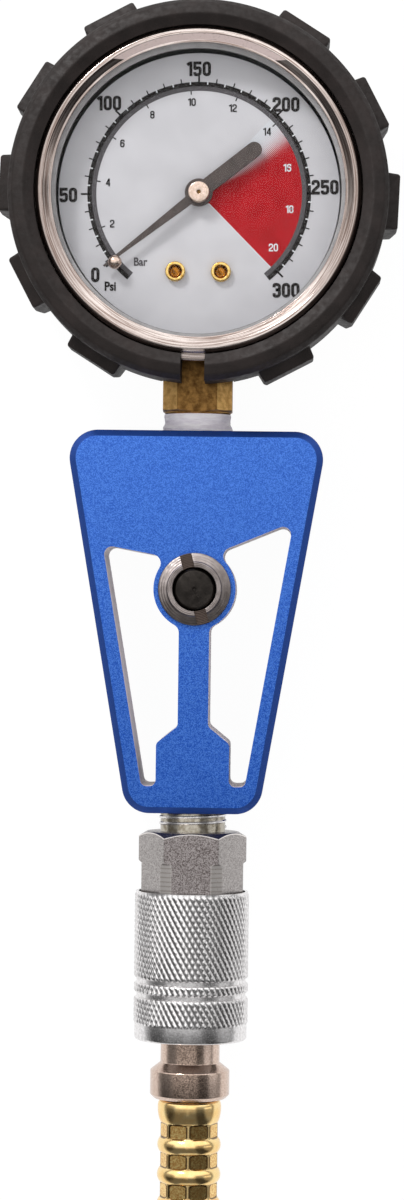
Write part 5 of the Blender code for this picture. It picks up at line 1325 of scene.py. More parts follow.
def floor_look():
    """White floor that keeps the shadow; mirrored, it is a white card that darkens to its sides."""
    made, graph = bare_look("floor")
    x, _, _ = graph.split()
    shine = glow(graph, FLOOR_GLOW, graph.between(graph.size(x), *FLOOR_CARD))
    matt = graph.node("ShaderNodeBsdfDiffuse", {"Color": (FLOOR_DIFFUSE, FLOOR_DIFFUSE, FLOOR_DIFFUSE, 1)})
    share = graph.times(seen_or_mirrored(graph), FLOOR_WHITE)
    both = graph.node("ShaderNodeMixShader", {0: share, 1: matt.outputs[0], 2: shine})
    return show(made, graph, both.outputs[0])


def flat(outline, height):
    shape = bmesh.new()
    shape.faces.new([shape.verts.new((x, y, height)) for x, y in outline])
    return shape


def rubber_boot(looks):
    """Boot with rounded lugs whose faces are flat, a hole for the stem and a slit above it."""
    lip = RIM_RADIUS + FIT
    groove = BEZEL_SHOULDER + FIT
    flange = FLANGE_RADIUS + FIT
    cavity = CASE_RADIUS + FIT
    outside = [(0, 0)]
    outside += [(BOOT_RADIUS + aside, height, rounding) for aside, height, rounding in BOOT_FOOT]
    outside += [(BOOT_RADIUS + aside, BOOT_TOP - drop, rounding) for aside, drop, rounding in BOOT_SHOULDER]
    outside += [(BOOT_RIDGE, BOOT_TOP, BOOT_RIDGE_EDGE), (lip, BOOT_TOP - BOOT_LIP_DROP)]
    outside = divided(softened(outside, BOOT_ROUNDING), BOOT_STEP)[1:]
    inside = [(lip, groove), (flange, groove), (flange, BEZEL_BOTTOM - FIT), (cavity, BEZEL_BOTTOM - FIT),
              (cavity, BOOT_FLOOR)]
    stations = boot_stations()
    rings = [[(0, 0, 0)]]
    for radius, height in outside:
        rise = smooth_step((height - LUG_BOTTOM + LUG_BEVEL) / LUG_BEVEL)
        fall = smooth_step((LUG_TOP - height) / LUG_BEVEL)
        share = rise * fall if radius > BOOT_RIDGE else 0
        rings.append([(*polar(radius + share * lift, angle), height) for angle, lift in stations])
    for radius, height in inside:
        rings.append([(*polar(radius, angle), height) for angle, _ in stations])
    rings.append([(0, 0, BOOT_FLOOR)])
    boot = as_object("rubber_boot_guard", stitch(rings), GAUGE)
    half = STEM_HALF + FIT
    reach = BOOT_RADIUS + LUG_HEIGHT + PAST
    inner = WALL_HOLE_REACH - CASE_RADIUS
    carve(boot, as_object("cutter", block_of(-half, half, -reach, inner, AXIS_Z - half, AXIS_Z + half),
                          GAUGE))
    slit = block_of(-SLIT_WIDTH / 2, SLIT_WIDTH / 2, -reach, inner, AXIS_Z, BOOT_TOP + PAST)
    carve(boot, as_object("cutter", slit, GAUGE, (0, 0, BOOT_TURN / 2)))
    dress(boot, looks["boot_rubber"], "frame", "boot_rubber", "rubber_boot")


def boot_stations():
    """Angles round the boot with the lug's rise over the plain wall at each."""
    side = softened([(-LUG_HALF_WIDTH - LUG_FILLET, 0), (-LUG_HALF_WIDTH, 0),
                     (-LUG_HALF_WIDTH + LUG_SIDE_SLOPE, LUG_HEIGHT), (0, LUG_HEIGHT)], LUG_FILLET)[:-1]
    corner = side[-1][0] / BOOT_RADIUS
    outer = BOOT_RADIUS + LUG_HEIGHT
    stations = []
    for place in range(LUG_COUNT):
        centre = place * 2 * math.pi / LUG_COUNT + BOOT_TURN
        gap = math.pi / LUG_COUNT + side[0][0] / BOOT_RADIUS
        for step in range(LUG_GAP_STEPS):
            stations.append((centre - math.pi / LUG_COUNT + gap * step / LUG_GAP_STEPS, 0.0))
        present = place not in LUG_PLACES_LEFT_OUT
        stations += [(centre + across / BOOT_RADIUS, rise * present) for across, rise in side]
        for step in range(1, LUG_FLAT_STEPS):
            angle = corner - 2 * corner * step / LUG_FLAT_STEPS
            lift = outer * math.cos(corner) / math.cos(angle) - BOOT_RADIUS
            stations.append((centre + angle, lift * present))
        stations += [(centre - across / BOOT_RADIUS, rise * present) for across, rise in reversed(side)]
        for step in range(1, LUG_GAP_STEPS):
            stations.append((centre + math.pi / LUG_COUNT - gap * (1 - step / LUG_GAP_STEPS), 0.0))
    return stations


def bezel(looks):
    """Rolled ring: a bead at the lens, a slope, the roll, and the flange crimped round the case."""
    foot = BEZEL_TOP - (BEZEL_SLOPE_TOP - BEZEL_SLOPE_FOOT) * math.tan(BEZEL_SLOPE)
    section = [(BEZEL_BEAD, BEZEL_LIP, BEZEL_LIP_EDGE), (BEZEL_BEAD, foot, BEZEL_BEAD_EDGE),
               (BEZEL_SLOPE_FOOT, foot), (BEZEL_SLOPE_TOP, BEZEL_TOP, EDGE),
               (BEZEL_ROLL_EDGE, BEZEL_TOP, EDGE), (RIM_RADIUS, BEZEL_TOP - BEZEL_ROLL_DROP, WIDE_EDGE),
               (RIM_RADIUS, BEZEL_SHOULDER, SMALL_EDGE), (FLANGE_RADIUS, BEZEL_SHOULDER, WIDE_EDGE),
               (FLANGE_RADIUS, BEZEL_BOTTOM, WIDE_EDGE), (CASE_RADIUS + FIT, BEZEL_BOTTOM),
               (CASE_RADIUS + FIT, BEZEL_BOTTOM + BEZEL_WALL),
               (FLANGE_RADIUS - BEZEL_WALL, BEZEL_BOTTOM + BEZEL_WALL),
               (FLANGE_RADIUS - BEZEL_WALL, BEZEL_SHOULDER - BEZEL_WALL),
               (RIM_RADIUS - BEZEL_WALL, BEZEL_SHOULDER - BEZEL_WALL), (RIM_RADIUS - BEZEL_WALL, BEZEL_LIP)]
    made = as_object("bezel_rolled", lathe(softened(section, FINE_EDGE, closed=True), ROUND), GAUGE)
    dress(made, looks["bezel_chrome"], "frame", "bezel_chrome", "bezel_ring")


def lens_and_gasket(looks):
    """Front disc, and the ring that lies under its edge."""
    edge = half_width("lens")
    bottom, top = low("lens").z, high("lens").z
    disc = softened([(0, bottom), (edge, bottom), (edge, top), (0, top)], EDGE)
    made = as_object("lens_clear", lathe(disc, ROUND), GAUGE)
    dress(made, looks["clear_lens"], "frame", "clear_lens", "lens")
    bottom, top = low("lens_gasket").z, high("lens_gasket").z
    inner = DIAL_RADIUS + GASKET_GAP
    ring = softened([(inner, bottom), (edge, bottom), (edge, top), (inner, top)], GASKET_EDGE, closed=True)
    made = as_object("gasket_ring", lathe(ring, ROUND), GAUGE)
    dress(made, looks["grey_gasket"], "frame", "grey_gasket", "lens_gasket")


def dial(looks):
    """Disc of the dial and everything printed on it."""
    bottom = low("dial_plate").z
    disc = softened([(DIAL_HOLE, bottom), (DIAL_RADIUS, bottom), (DIAL_RADIUS, DIAL_Z), (DIAL_HOLE, DIAL_Z)],
                    FINE_EDGE, closed=True)
    made = as_object("dial_face", lathe(disc, ROUND), GAUGE)
    dress(made, looks["dial_print"], "frame", "dial_print", "dial_plate")
    band(looks)
    red_sector(looks)
    numbers(looks)


def printed(name, shape, layer, look_used):
    """A flat print that lies a few hundredths of a millimetre over the dial, or over another print."""
    made = as_object(name, shape, GAUGE + Vector((0, 0, DIAL_Z + layer * PRINT_LIFT)), (0, 0, DIAL_TURN))
    dress(made, look_used, "frame", "dial_print")


def add_sector(shape, inner, outer, start, end, steps):
    """Add a ring's sector to a flat print as a strip of faces."""
    rows = []
    for radius in (inner, outer):
        row = arc((0, 0), radius, math.radians(start), math.radians(end), steps)
        rows.append([shape.verts.new((x, y, 0)) for x, y in row])
    for index in range(steps):
        shape.faces.new((rows[0][index], rows[1][index], rows[1][index + 1], rows[0][index + 1]))


def add_tick(shape, inner, outer, angle, width):
    along = Vector(polar(1, math.radians(angle)))
    across = Vector((-along.y, along.x)) * width / 2
    corners = (along * inner - across, along * outer - across, along * outer + across, along * inner + across)
    shape.faces.new([shape.verts.new((corner.x, corner.y, 0)) for corner in corners])


def psi_angle(pressure):
    return ZERO_ANGLE - DEGREES_PER_PSI * pressure


def band(looks):
    """The ring of the scale with its ticks."""
    grey = bmesh.new()
    add_sector(grey, BAND_INNER, BAND_MIDDLE, BAND_START, BAND_END, BAND_STEPS)
    printed("dial_band_grey", grey, 1, looks["ink_grey"])
    black = bmesh.new()
    add_sector(black, BAND_MIDDLE, BAND_OUTER, BAND_START, BAND_END, BAND_STEPS)
    for pressure in range(PSI_STEP, PSI_LAST + 1, PSI_STEP):
        long = pressure % PSI_LONG_STEP == 0
        add_tick(black, BAND_MIDDLE, LONG_TICK_END if long else TICK_END, psi_angle(pressure),
                 LONG_TICK_WIDTH if long else TICK_WIDTH)
    add_tick(black, BAND_MIDDLE, LONG_TICK_END, ZERO_TICK_ANGLE, LONG_TICK_WIDTH)
    for bars in range(BAR_STEP, BAR_LAST_ON_WHITE + 1, BAR_STEP):
        add_tick(black, BAR_TICK_START, BAR_TICK_END, psi_angle(bars * PSI_PER_BAR), TICK_WIDTH)
    printed("dial_band_black", black, 2, looks["ink_black"])
    white = bmesh.new()
    for pressure in range(PSI_STEP // 2, PSI_LAST, PSI_STEP):
        add_tick(white, NOTCH_START, NOTCH_END, psi_angle(pressure), NOTCH_WIDTH)
    printed("dial_band_notches", white, 3, looks["ink_white"])


def red_sector(looks):
    """Red sector of the dial and the white line along its lower edge."""
    red = bmesh.new()
    add_sector(red, POINTER_BOSS_RADIUS / 2, BAND_INNER, RED_START, RED_END, RED_STEPS)
    printed("dial_red_sector", red, 1, looks["ink_red"])
    edge = bmesh.new()
    add_tick(edge, POINTER_BOSS_RADIUS, BAND_INNER, RED_START, RED_EDGE_WIDTH)
    printed("dial_red_edge", edge, 2, looks["ink_white"])


def add_word(shape, word, height, x, y, narrowing=1.0, weight=0.0):
    """Add flat letters whose box has this height and this middle."""
    curve = bpy.data.curves.new("word", "FONT")
    curve.body = word
    curve.offset = weight
    letters = bpy.data.objects.new("word", curve)
    bpy.context.scene.collection.objects.link(letters)
    bpy.context.view_layer.update()
    mesh = bpy.data.meshes.new_from_object(letters.evaluated_get(bpy.context.evaluated_depsgraph_get()))
    bpy.data.objects.remove(letters, do_unlink=True)
    xs = [vertex.co.x for vertex in mesh.vertices]
    ys = [vertex.co.y for vertex in mesh.vertices]
    scale = height / (max(ys) - min(ys))
    move = Matrix.Translation((x, y, 0)) @ Matrix.Diagonal((scale * narrowing, scale, 1, 1))
    move = move @ Matrix.Translation((-(max(xs) + min(xs)) / 2, -(max(ys) + min(ys)) / 2, 0))
    mesh.transform(move)
    shape.from_mesh(mesh)
    bpy.data.meshes.remove(mesh)


def digit_strokes(digit, stroke):
    """Strokes of a narrow bold digit: for each, whether it is a loop, and its rounded path.

    All places and radii are shares of the digit's height.
    """
    left = stroke / 2
    right = DIGIT_WIDTH - stroke / 2
    foot = stroke / 2
    head = 1 - stroke / 2
    bend = (right - left) / 2
    small_bend = bend * DIGIT_BEND
    stem = ONE_WIDTH - stroke / 2
    post = right - POST_INSET
    waist = DIGIT_WAIST
    shapes = {
        "0": [(True, [(left, foot, bend), (right, foot, bend), (right, head, bend), (left, head, bend)])],
        "1": [(False, [(stem, 0), (stem, 1)]), (False, [(0, 0.76), (stem - stroke / 3, 0.90)])],
        "2": [(False, [(left, 0.66), (left, head, bend), (right, head, bend), (right, 0.58, small_bend),
                       (left, 0.24, 0.10), (left, foot, 0), (DIGIT_WIDTH, foot)])],
        "3": [(False, [(left, 0.70), (left, head, bend), (right, head, bend), (right, waist, small_bend),
                       (left + stroke / 2, waist)]),
              (False, [(left + stroke / 2, waist), (right, waist, small_bend), (right, foot, bend),
                       (left, foot, bend), (left, 0.30)])],
        "4": [(False, [(post, 0), (post, 1)]),
              (False, [(post - stroke / 4, 0.94), (left, 0.30, 0.02), (DIGIT_WIDTH, 0.30)])],
        "5": [(False, [(DIGIT_WIDTH - 0.02, head), (left, head, 0), (left, 0.52, 0.02),
                       (right, 0.60, small_bend), (right, foot, bend), (left, foot, bend), (left, 0.28)])],
        "6": [(True, [(left, foot, bend), (right, foot, bend), (right, 0.58, bend), (left, 0.58, bend)]),
              (False, [(left, 0.30), (left, head, bend), (right, head, bend), (right, 0.72)])],
        "8": [(True, [(left, foot, bend), (right, foot, bend), (right, waist, bend), (left, waist, bend)]),
              (True, [(left, waist, bend), (right, waist, bend), (right, head, bend), (left, head, bend)])],
    }
    return shapes[digit]


def add_stroke(shape, path, width, closed):
    """Add a flat strip of this width along the path."""
    points = [Vector(point) for point in path]
    count = len(points)
    rows = []
    for index, point in enumerate(points):
        before = points[index - 1] if index or closed else None
        after = points[(index + 1) % count] if index < count - 1 or closed else None
        ways = []
        if before is not None:
            ways.append((point - before).normalized())
        if after is not None:
            ways.append((after - point).normalized())
        along = sum(ways, Vector((0, 0))).normalized()
        across = Vector((-along.y, along.x)) * width / 2 / max(LEAST_MITRE, along.dot(ways[0]))
        rows.append([shape.verts.new((*(point + across * side), 0)) for side in (1, -1)])
    if closed:
        rows.append(rows[0])
    for first, second in zip(rows, rows[1:]):
        shape.faces.new((first[0], first[1], second[1], second[0]))


def add_number(shape, value, height, x, y, stroke):
    """Add a number in narrow bold digits whose middle is at x, y."""
    digits = str(value)
    widths = [ONE_WIDTH if digit == "1" else DIGIT_WIDTH for digit in digits]
    start = -(sum(widths) + DIGIT_GAP * (len(digits) - 1)) / 2
    for digit, width in zip(digits, widths):
        for closed, corners in digit_strokes(digit, stroke):
            path = softened(corners, 0, closed=closed)
            path = [(x + (start + across) * height, y + (up - 0.5) * height) for across, up in path]
            add_stroke(shape, path, stroke * height, closed)
        start += width + DIGIT_GAP


def numbers(looks):
    """Numbers of both scales and their two plain words."""
    black = bmesh.new()
    white = bmesh.new()
    grey = bmesh.new()
    for value, x, y in PSI_NUMBERS:
        add_number(black, value, NUMBER_HEIGHT, x / PER_METRE, y / PER_METRE, NUMBER_STROKE)
    for bars in range(BAR_STEP, BAR_LAST + 1, BAR_STEP):
        x, y = polar(BAR_NUMBER_RADIUS, math.radians(psi_angle(bars * PSI_PER_BAR)))
        add_number(black if bars <= BAR_LAST_ON_WHITE else white, bars, BAR_NUMBER_HEIGHT, x, y,
                   BAR_NUMBER_STROKE)
    for (word, x, y, height, weight), shape in zip(WORDS, (black, grey)):
        add_word(shape, word, height, x, y, WORD_NARROWING, weight)
    printed("dial_numbers_black", black, 3, looks["ink_black"])
    printed("dial_numbers_white", white, 3, looks["ink_white"])
    printed("dial_word_grey", grey, 3, looks["ink_grey"])


def dial_screws(looks):
    """Two brass screws with dished heads."""
    for number in (1, 2):
        node = f"dial_screw_{number}"
        head = half_width(node)
        top = high(node).z
        seat = top - SCREW_HEIGHT
        dish = top - SCREW_DISH_DEPTH
        section = [(0, low(node).z), (SCREW_SHANK, low(node).z), (SCREW_SHANK, seat), (head, seat),
                   (head, top, WIDE_EDGE), (SCREW_RIM, top, SMALL_EDGE), (SCREW_DISH, dish, SMALL_EDGE),
                   (0, dish)]
        place = middle(node)
        made = as_object(f"{node}_dished", lathe(softened(section, FINE_EDGE), SMALL_ROUND),
                         (place.x, place.y, 0))
        dress(made, looks["dished_brass"], "frame", "bright_brass", node)


def pointer(looks):
    """Needle, its bush with a round eye, and the stop that it rests against."""
    bottom, top = low("pointer").z, high("pointer").z
    boss = POINTER_BOSS_RADIUS
    tip = POINTER_TIP_WIDTH / 2
    root = POINTER_ROOT_WIDTH / 2
    tail = POINTER_TAIL_WIDTH / 2
    outline = [(POINTER_TIP, -tip), (POINTER_TIP, tip)]
    outline += arc((0, 0), boss, math.asin(root / boss), math.pi - math.asin(tail / boss), POINTER_BOSS_STEPS)
    outline += arc((tail - POINTER_TAIL, 0), tail, math.pi / 2, 3 * math.pi / 2, POINTER_TAIL_STEPS)
    outline += arc((0, 0), boss, math.pi + math.asin(tail / boss), 2 * math.pi - math.asin(root / boss),
                   POINTER_BOSS_STEPS)
    small = [(x * (1 - POINTER_EDGE / POINTER_TIP), y * POINTER_NARROWING) for x, y in outline]
    rings = [[(x, y, bottom) for x, y in outline], [(x, y, top - POINTER_EDGE) for x, y in outline],
             [(x, y, top) for x, y in small]]
    needle = as_object("pointer_needle", stitch(rings), GAUGE, (0, 0, POINTER_REST))
    dress(needle, looks["pointer_black"], "pointer", "pointer_black", "pointer")

    hub = half_width("pointer_hub")
    bottom, top = low("pointer_hub").z, high("pointer_hub").z
    seat = top - BUSH_HEIGHT
    eye = top - BUSH_EYE_DEPTH
    section = [(BUSH_BORE, bottom), (BUSH_NECK, bottom), (BUSH_NECK, seat), (hub, seat),
               (hub, top, BUSH_EDGE), (BUSH_EYE, top, BUSH_EYE_EDGE), (BUSH_EYE, eye), (BUSH_BORE, eye)]
    made = as_object("pointer_bush", lathe(softened(section, FINE_EDGE, closed=True), SMALL_ROUND), GAUGE)
    dress(made, looks["warm_nickel"], "pointer", "warm_nickel", "pointer_hub")

    place = middle("stop_pin")
    head = half_width("stop_pin")
    bottom, top = low("stop_pin").z, high("stop_pin").z
    dome = arc((0, top - STOP_HEIGHT), 1, 0, math.pi / 2, STOP_STEPS)
    section = [(0, bottom), (STOP_SHANK, bottom), (STOP_SHANK, top - STOP_HEIGHT)]
    section += [(head * across, top - STOP_HEIGHT + STOP_HEIGHT * (up - top + STOP_HEIGHT))
                for across, up in dome[:-1]]
    section.append((0, top))
    made = as_object("stop_pin_domed", lathe(section, SMALL_ROUND), (place.x, place.y, 0))
    dress(made, looks["warm_nickel"], "frame", "warm_nickel", "stop_pin")


def stem(looks):
    """Square brass stem, turned off at its lower end, and the tape on its thread."""
    half = STEM_HALF
    cut_back = half - STEM_CHAMFER
    outline = softened([(cut_back, -half), (half, -cut_back), (half, cut_back), (cut_back, half),
                        (-cut_back, half), (-half, cut_back), (-half, -cut_back), (-cut_back, -half)],
                       EDGE, closed=True)
    shown = STEM_START_Y - STEM_END_Y
    bar = as_object("stem_square", extruded(outline, -shown, 0), (0, STEM_END_Y, AXIS_Z), LAID)
    turned = half - SMALL_EDGE
    blank = [(0, -shown - PAST), (2 * half, -shown - PAST), (2 * half, STEM_CUT_START), (turned, -FINE_EDGE),
             (turned, PAST), (0, PAST)]
    carve(bar, as_object("blank", lathe(blank), (0, STEM_END_Y, AXIS_Z), LAID), "INTERSECT")
    dress(bar, looks["brass"], "frame", "brass", "socket_stem")
    collar = softened([(0, -STEM_COLLAR), (half - EDGE, -STEM_COLLAR), (turned, 0),
                       (STEM_THREAD_RADIUS, STEM_COLLAR_RISE),
                       (STEM_THREAD_RADIUS, STEM_THREAD_END, SMALL_EDGE), (0, STEM_THREAD_END)], FINE_EDGE)
    made = as_object("stem_collar", lathe(collar), (0, STEM_END_Y, AXIS_Z), LAID)
    dress(made, looks["brass"], "frame", "brass")
    seat = block_of(-STEM_SEAT_HALF, STEM_SEAT_HALF, STEM_START_Y - GAUGE.y, STEM_SEAT_END, AXIS_Z - half,
                    low("back_plate").z - FIT)
    made = as_object("stem_seat", seat, GAUGE)
    dress(made, looks["brass"], "frame", "brass")
    tape(looks)


def tape(looks):
    """Layers of thin tape with wrinkles, folded out where they meet the block."""
    inner = STEM_THREAD_RADIUS + FIT / 3
    length = high("thread_tape").y - low("thread_tape").y
    start = STEM_END_Y - high("thread_tape").y
    rings = []
    for row in range(TAPE_ROWS + 1):
        along = start + length * row / TAPE_ROWS
        ring = []
        for step in range(ROUND):
            angle = step * 2 * math.pi / ROUND
            wound = (along / TAPE_PITCH + step / ROUND) % 1
            radius = STEM_THREAD_RADIUS + TAPE_THICKNESS + TAPE_LAYER * wound
            for often_round, often_along, height in (TAPE_FOLD, TAPE_WRINKLE):
                radius += height * noise.noise(Vector((*polar(often_round, angle), along * often_along)))
            radius += (TAPE_FLARE * smooth_step((along - TAPE_FLARE_START) / TAPE_FLARE_RISE)
                       * (1 - smooth_step((along - TAPE_FLARE_END) / TAPE_FLARE_FALL)))
            ring.append((*polar(radius, angle), along))
        rings.append(ring)
    for along in (start + length, start):
        rings.append(hoop(inner, along, ROUND))
    made = as_object("tape_wound", stitch(rings, closed=True), (0, STEM_END_Y, AXIS_Z), LAID)
    dress(made, looks["white_tape"], "frame", "white_tape", "thread_tape")


def block_half_width(depth):
    """Half the block's width at a depth below its top face, before its corners are rounded."""
    return BLOCK_TOP_HALF_WIDTH - BLOCK_TAPER * depth


def block_outline(inset):
    """Rounded taper, moved inwards by the inset."""
    shift = inset / math.cos(math.atan(BLOCK_TAPER))
    top = block_half_width(inset) - shift
    bottom = block_half_width(BLOCK_LENGTH - inset) - shift
    upper = BLOCK_TOP_CORNER - inset
    lower = BLOCK_BOTTOM_CORNER - inset
    corners = [(-top, BLOCK_TOP_Y - inset, upper), (-bottom, BLOCK_BOTTOM_Y + inset, lower),
               (bottom, BLOCK_BOTTOM_Y + inset, lower), (top, BLOCK_TOP_Y - inset, upper)]
    return softened(corners, upper, BLOCK_CORNER_STEPS, closed=True)


def boss_fillet(point, direction, normal, side):
    """Centre of the fillet between a straight edge and the round boss, at one of its two crossings."""
    boss = Vector((BOSS.x, BOSS.y))
    start = Vector(point) + Vector(normal) * BOSS_FILLET - boss
    along = Vector(direction)
    half = start.dot(along)
    rest = start.dot(start) - (BOSS_RADIUS + BOSS_FILLET) ** 2
    return boss + start + along * (-half + side * math.sqrt(half * half - rest))


def window_outline(side, wall, top_depth, top_slope):
    """One window between the side wall, the boss, the strut and the pad; side is 1 right, -1 left."""
    slope = (math.cos(top_slope), math.sin(top_slope))
    outer_top = (block_half_width(top_depth) - wall, BLOCK_TOP_Y - top_depth)
    bottom = BLOCK_BOTTOM_Y + WINDOW_BOTTOM_BAR
    outer_bottom = block_half_width(BLOCK_LENGTH - WINDOW_BOTTOM_BAR) - wall
    pad_top = BLOCK_BOTTOM_Y + PAD_HEIGHT
    low_fillet = boss_fillet((STRUT_HALF, BOSS.y), (0, -1), (1, 0), 1)
    high_fillet = boss_fillet(outer_top, (-slope[0], -slope[1]), (slope[1], -slope[0]), -1)
    to_low = math.atan2(low_fillet[1] - BOSS.y, low_fillet[0])
    to_high = math.atan2(high_fillet[1] - BOSS.y, high_fillet[0])
    curve = arc(low_fillet, BOSS_FILLET, math.pi, to_low + math.pi, WINDOW_STEPS)
    curve += arc((BOSS.x, BOSS.y), BOSS_RADIUS, to_low, to_high, BOSS_STEPS)[1:-1]
    curve += arc(high_fillet, BOSS_FILLET, to_high + math.pi, math.pi / 2 + top_slope, WINDOW_STEPS)
    corners = [(*point, 0) for point in curve]
    corners += [(*outer_top, WINDOW_CORNER), (outer_bottom, bottom, PAD_FOOT_CORNER),
                (PAD_HALF, bottom, PAD_FOOT_CORNER), (PAD_HALF, pad_top - PAD_SHOULDER, PAD_CORNER),
                (STRUT_HALF, pad_top, PAD_CORNER)]
    return [(side * x, y) for x, y in softened(corners, 0, WINDOW_STEPS, closed=True)]


def block(looks):
    """Machined block: chamfered all round, with two windows and the bores that the fittings sit in."""
    chamfer = softened([(0, 2 * BLOCK_CHAMFER), (0, BLOCK_CHAMFER), (BLOCK_CHAMFER, 0),
                        (2 * BLOCK_CHAMFER, 0)], BLOCK_EDGE)[1:-1]
    levels = [(inset, BLOCK_BACK_Z + drop) for inset, drop in reversed(chamfer)]
    levels += [(inset, BLOCK_FRONT_Z - drop) for inset, drop in chamfer]
    rings = [[(x, y, height) for x, y in block_outline(inset)] for inset, height in levels]
    made = as_object("block_machined", stitch(rings))
    bottom = BLOCK_BACK_Z - PAST
    top = BLOCK_FRONT_Z + PAST
    left = window_outline(-1, LEFT_WALL, WINDOW_LEFT_TOP, WINDOW_LEFT_SLOPE)
    right = window_outline(1, RIGHT_WALL, WINDOW_RIGHT_TOP, WINDOW_RIGHT_SLOPE)
    for outline in (left, right):
        carve(made, as_object("cutter", extruded(outline, bottom, top)))
    bore = NUT_THREAD_RADIUS + FIT
    thread_end = BLOCK_FRONT_Z - NUT_THREAD_LENGTH - 2 * FIT
    chamber_end = BLOCK_FRONT_Z - CHAMBER_DEPTH
    guide_end = chamber_end - GUIDE_DEPTH
    valve = [(0, guide_end), (GUIDE_RADIUS, guide_end), (GUIDE_RADIUS, chamber_end),
             (CHAMBER_RADIUS, chamber_end), (CHAMBER_RADIUS, thread_end), (bore, thread_end), (bore, top),
             (0, top)]
    carve(made, as_object("cutter", lathe(valve), BOSS))
    for radius, start, end, place in ((GAUGE_PORT_RADIUS, -PAST, PORT_DEPTH, (0, BLOCK_TOP_Y, AXIS_Z)),
                                      (COUPLER_PORT_RADIUS, -PORT_DEPTH, PAST, COUPLER)):
        port = lathe([(0, start), (radius, start), (radius, end), (0, end)])
        carve(made, as_object("cutter", port, place, LAID))
    dress(made, looks["blue_anodised"], "frame", "blue_anodised", "gauge_block")


def nut_and_button(looks):
    """Bevelled nut with its slot, and the button that stands in it."""
    bore = BUTTON_RADIUS + FIT
    thread_end = low("valve_nut").z
    section = [(bore, thread_end, SMALL_EDGE), (NUT_THREAD_RADIUS, thread_end, EDGE),
               (NUT_THREAD_RADIUS, NUT_LOW), (NUT_RADIUS, NUT_LOW),
               (NUT_RADIUS, NUT_LOW + NUT_RIM, SMALL_EDGE),
               (NUT_FACE_RADIUS + NUT_STEP, NUT_TOP - 2 * NUT_STEP), (NUT_FACE_RADIUS, NUT_TOP),
               (bore, NUT_TOP, SMALL_EDGE)]
    made = as_object("nut_bevelled", lathe(softened(section, FINE_EDGE, closed=True)), BOSS)
    reach = NUT_RADIUS + PAST
    half = NUT_SLOT_WIDTH / 2
    slot = block_of(-reach, reach, -half, half, NUT_TOP - NUT_SLOT_DEPTH, NUT_TOP + PAST)
    carve(made, as_object("cutter", slot, BOSS, (0, 0, NUT_SLOT_TURN)))
    dress(made, looks["slotted_steel"], "frame", "turned_steel", "valve_nut")

    flange_top = BUTTON_LOW + BUTTON_FLANGE
    flange = half_width("release_button")
    section = [(0, BUTTON_LOW), (flange, BUTTON_LOW, SMALL_EDGE), (flange, flange_top, SMALL_EDGE),
               (BUTTON_RADIUS, flange_top), (BUTTON_RADIUS, BUTTON_TOP - BUTTON_EDGE),
               (BUTTON_RADIUS - BUTTON_EDGE, BUTTON_TOP), (2 * BUTTON_PIP, BUTTON_TOP),
               (BUTTON_PIP, BUTTON_TOP - BUTTON_PIP), (0, BUTTON_TOP - BUTTON_PIP)]
    made = as_object("button_turned", lathe(softened(section, FINE_EDGE)), BOSS)
    dress(made, looks["button_black"], "button", "button_black", "release_button")


def coupler_body(looks):
    """Hexagon with rounded corners, its turned shoulder, the tube that takes the plug and the thread."""
    corner = HEX_HALF / math.cos(math.pi / 6)
    shoulder = SLEEVE_START + BODY_SHOULDER
    end = SLEEVE_END - BODY_END
    section = [(SUPPLY_BORE_RADIUS, -THREAD_LENGTH), (THREAD_RADIUS, -THREAD_LENGTH, WIDE_EDGE),
               (THREAD_RADIUS, NECK_END), (HEX_HALF - HEX_FACE_DROP, NECK_END, SMALL_EDGE),
               (HEX_BLANK, NECK_END + HEX_CHAMFER), (HEX_BLANK, HEX_END - HEX_END_BEVEL),
               (HEX_TURNED_RADIUS, HEX_END + HEX_SHOULDER_BEVEL, SMALL_EDGE),
               (HEX_TURNED_RADIUS, shoulder, SMALL_EDGE), (BODY_TUBE_RADIUS, shoulder),
               (BODY_TUBE_RADIUS, end, SMALL_EDGE), (BODY_BORE_RADIUS, end, SMALL_EDGE),
               (BODY_BORE_RADIUS, POPPET_CHAMBER_END), (POPPET_CHAMBER_RADIUS, POPPET_CHAMBER_END),
               (POPPET_CHAMBER_RADIUS, POPPET_CHAMBER_START), (SUPPLY_BORE_RADIUS, POPPET_CHAMBER_START)]
    body = as_object("coupler_hex", lathe(softened(section, FINE_EDGE, closed=True), ROUND), COUPLER, LAID)
    corners = [polar(corner, step * 2 * math.pi / HEX_SIDES) for step in range(HEX_SIDES)]
    outline = softened(corners, SMALL_EDGE, closed=True)
    prism = as_object("prism", extruded(outline, PRISM_START, SLEEVE_END + PAST), COUPLER, LAID)
    carve(body, prism, "INTERSECT")
    dress(body, looks["dull_zinc"], "frame", "zinc_steel", "coupler_body")
    body.data.set_sharp_from_angle(angle=HEX_SHARP_ANGLE)

    turns = int((NECK_END - THREAD_START) / THREAD_PITCH)
    rings = []
    for step in range(turns * THREAD_TURN_STEPS + 1):
        angle = step * 2 * math.pi / THREAD_TURN_STEPS
        along = THREAD_START + THREAD_PITCH * step / THREAD_TURN_STEPS
        rings.append([(*polar(THREAD_RADIUS + rise - THREAD_SINK, angle),
                       along + across * THREAD_PITCH * THREAD_FILL) for across, rise in THREAD_RIDGE])
    made = as_object("coupler_thread", stitch(rings), COUPLER, LAID)
    dress(made, looks["zinc_steel"], "frame", "zinc_steel")


def knurl_height(turn_share, along):
    """Height of the diamond knurl: 1 on a diamond's crest, 0 in a groove."""
    shift = along * math.tan(KNURL_HELIX) / (2 * math.pi * SLEEVE_RADIUS / KNURL_STARTS)
    heights = []
    for sign, share in ((1, 1.0), (-1, KNURL_WEAK_SHARE)):
        phase = (turn_share * KNURL_STARTS + sign * shift) % 1
        wall = min(1.0, abs(phase - 0.5) * KNURL_WALL)
        heights.append(1 - share * (1 - wall))
    return min(heights)


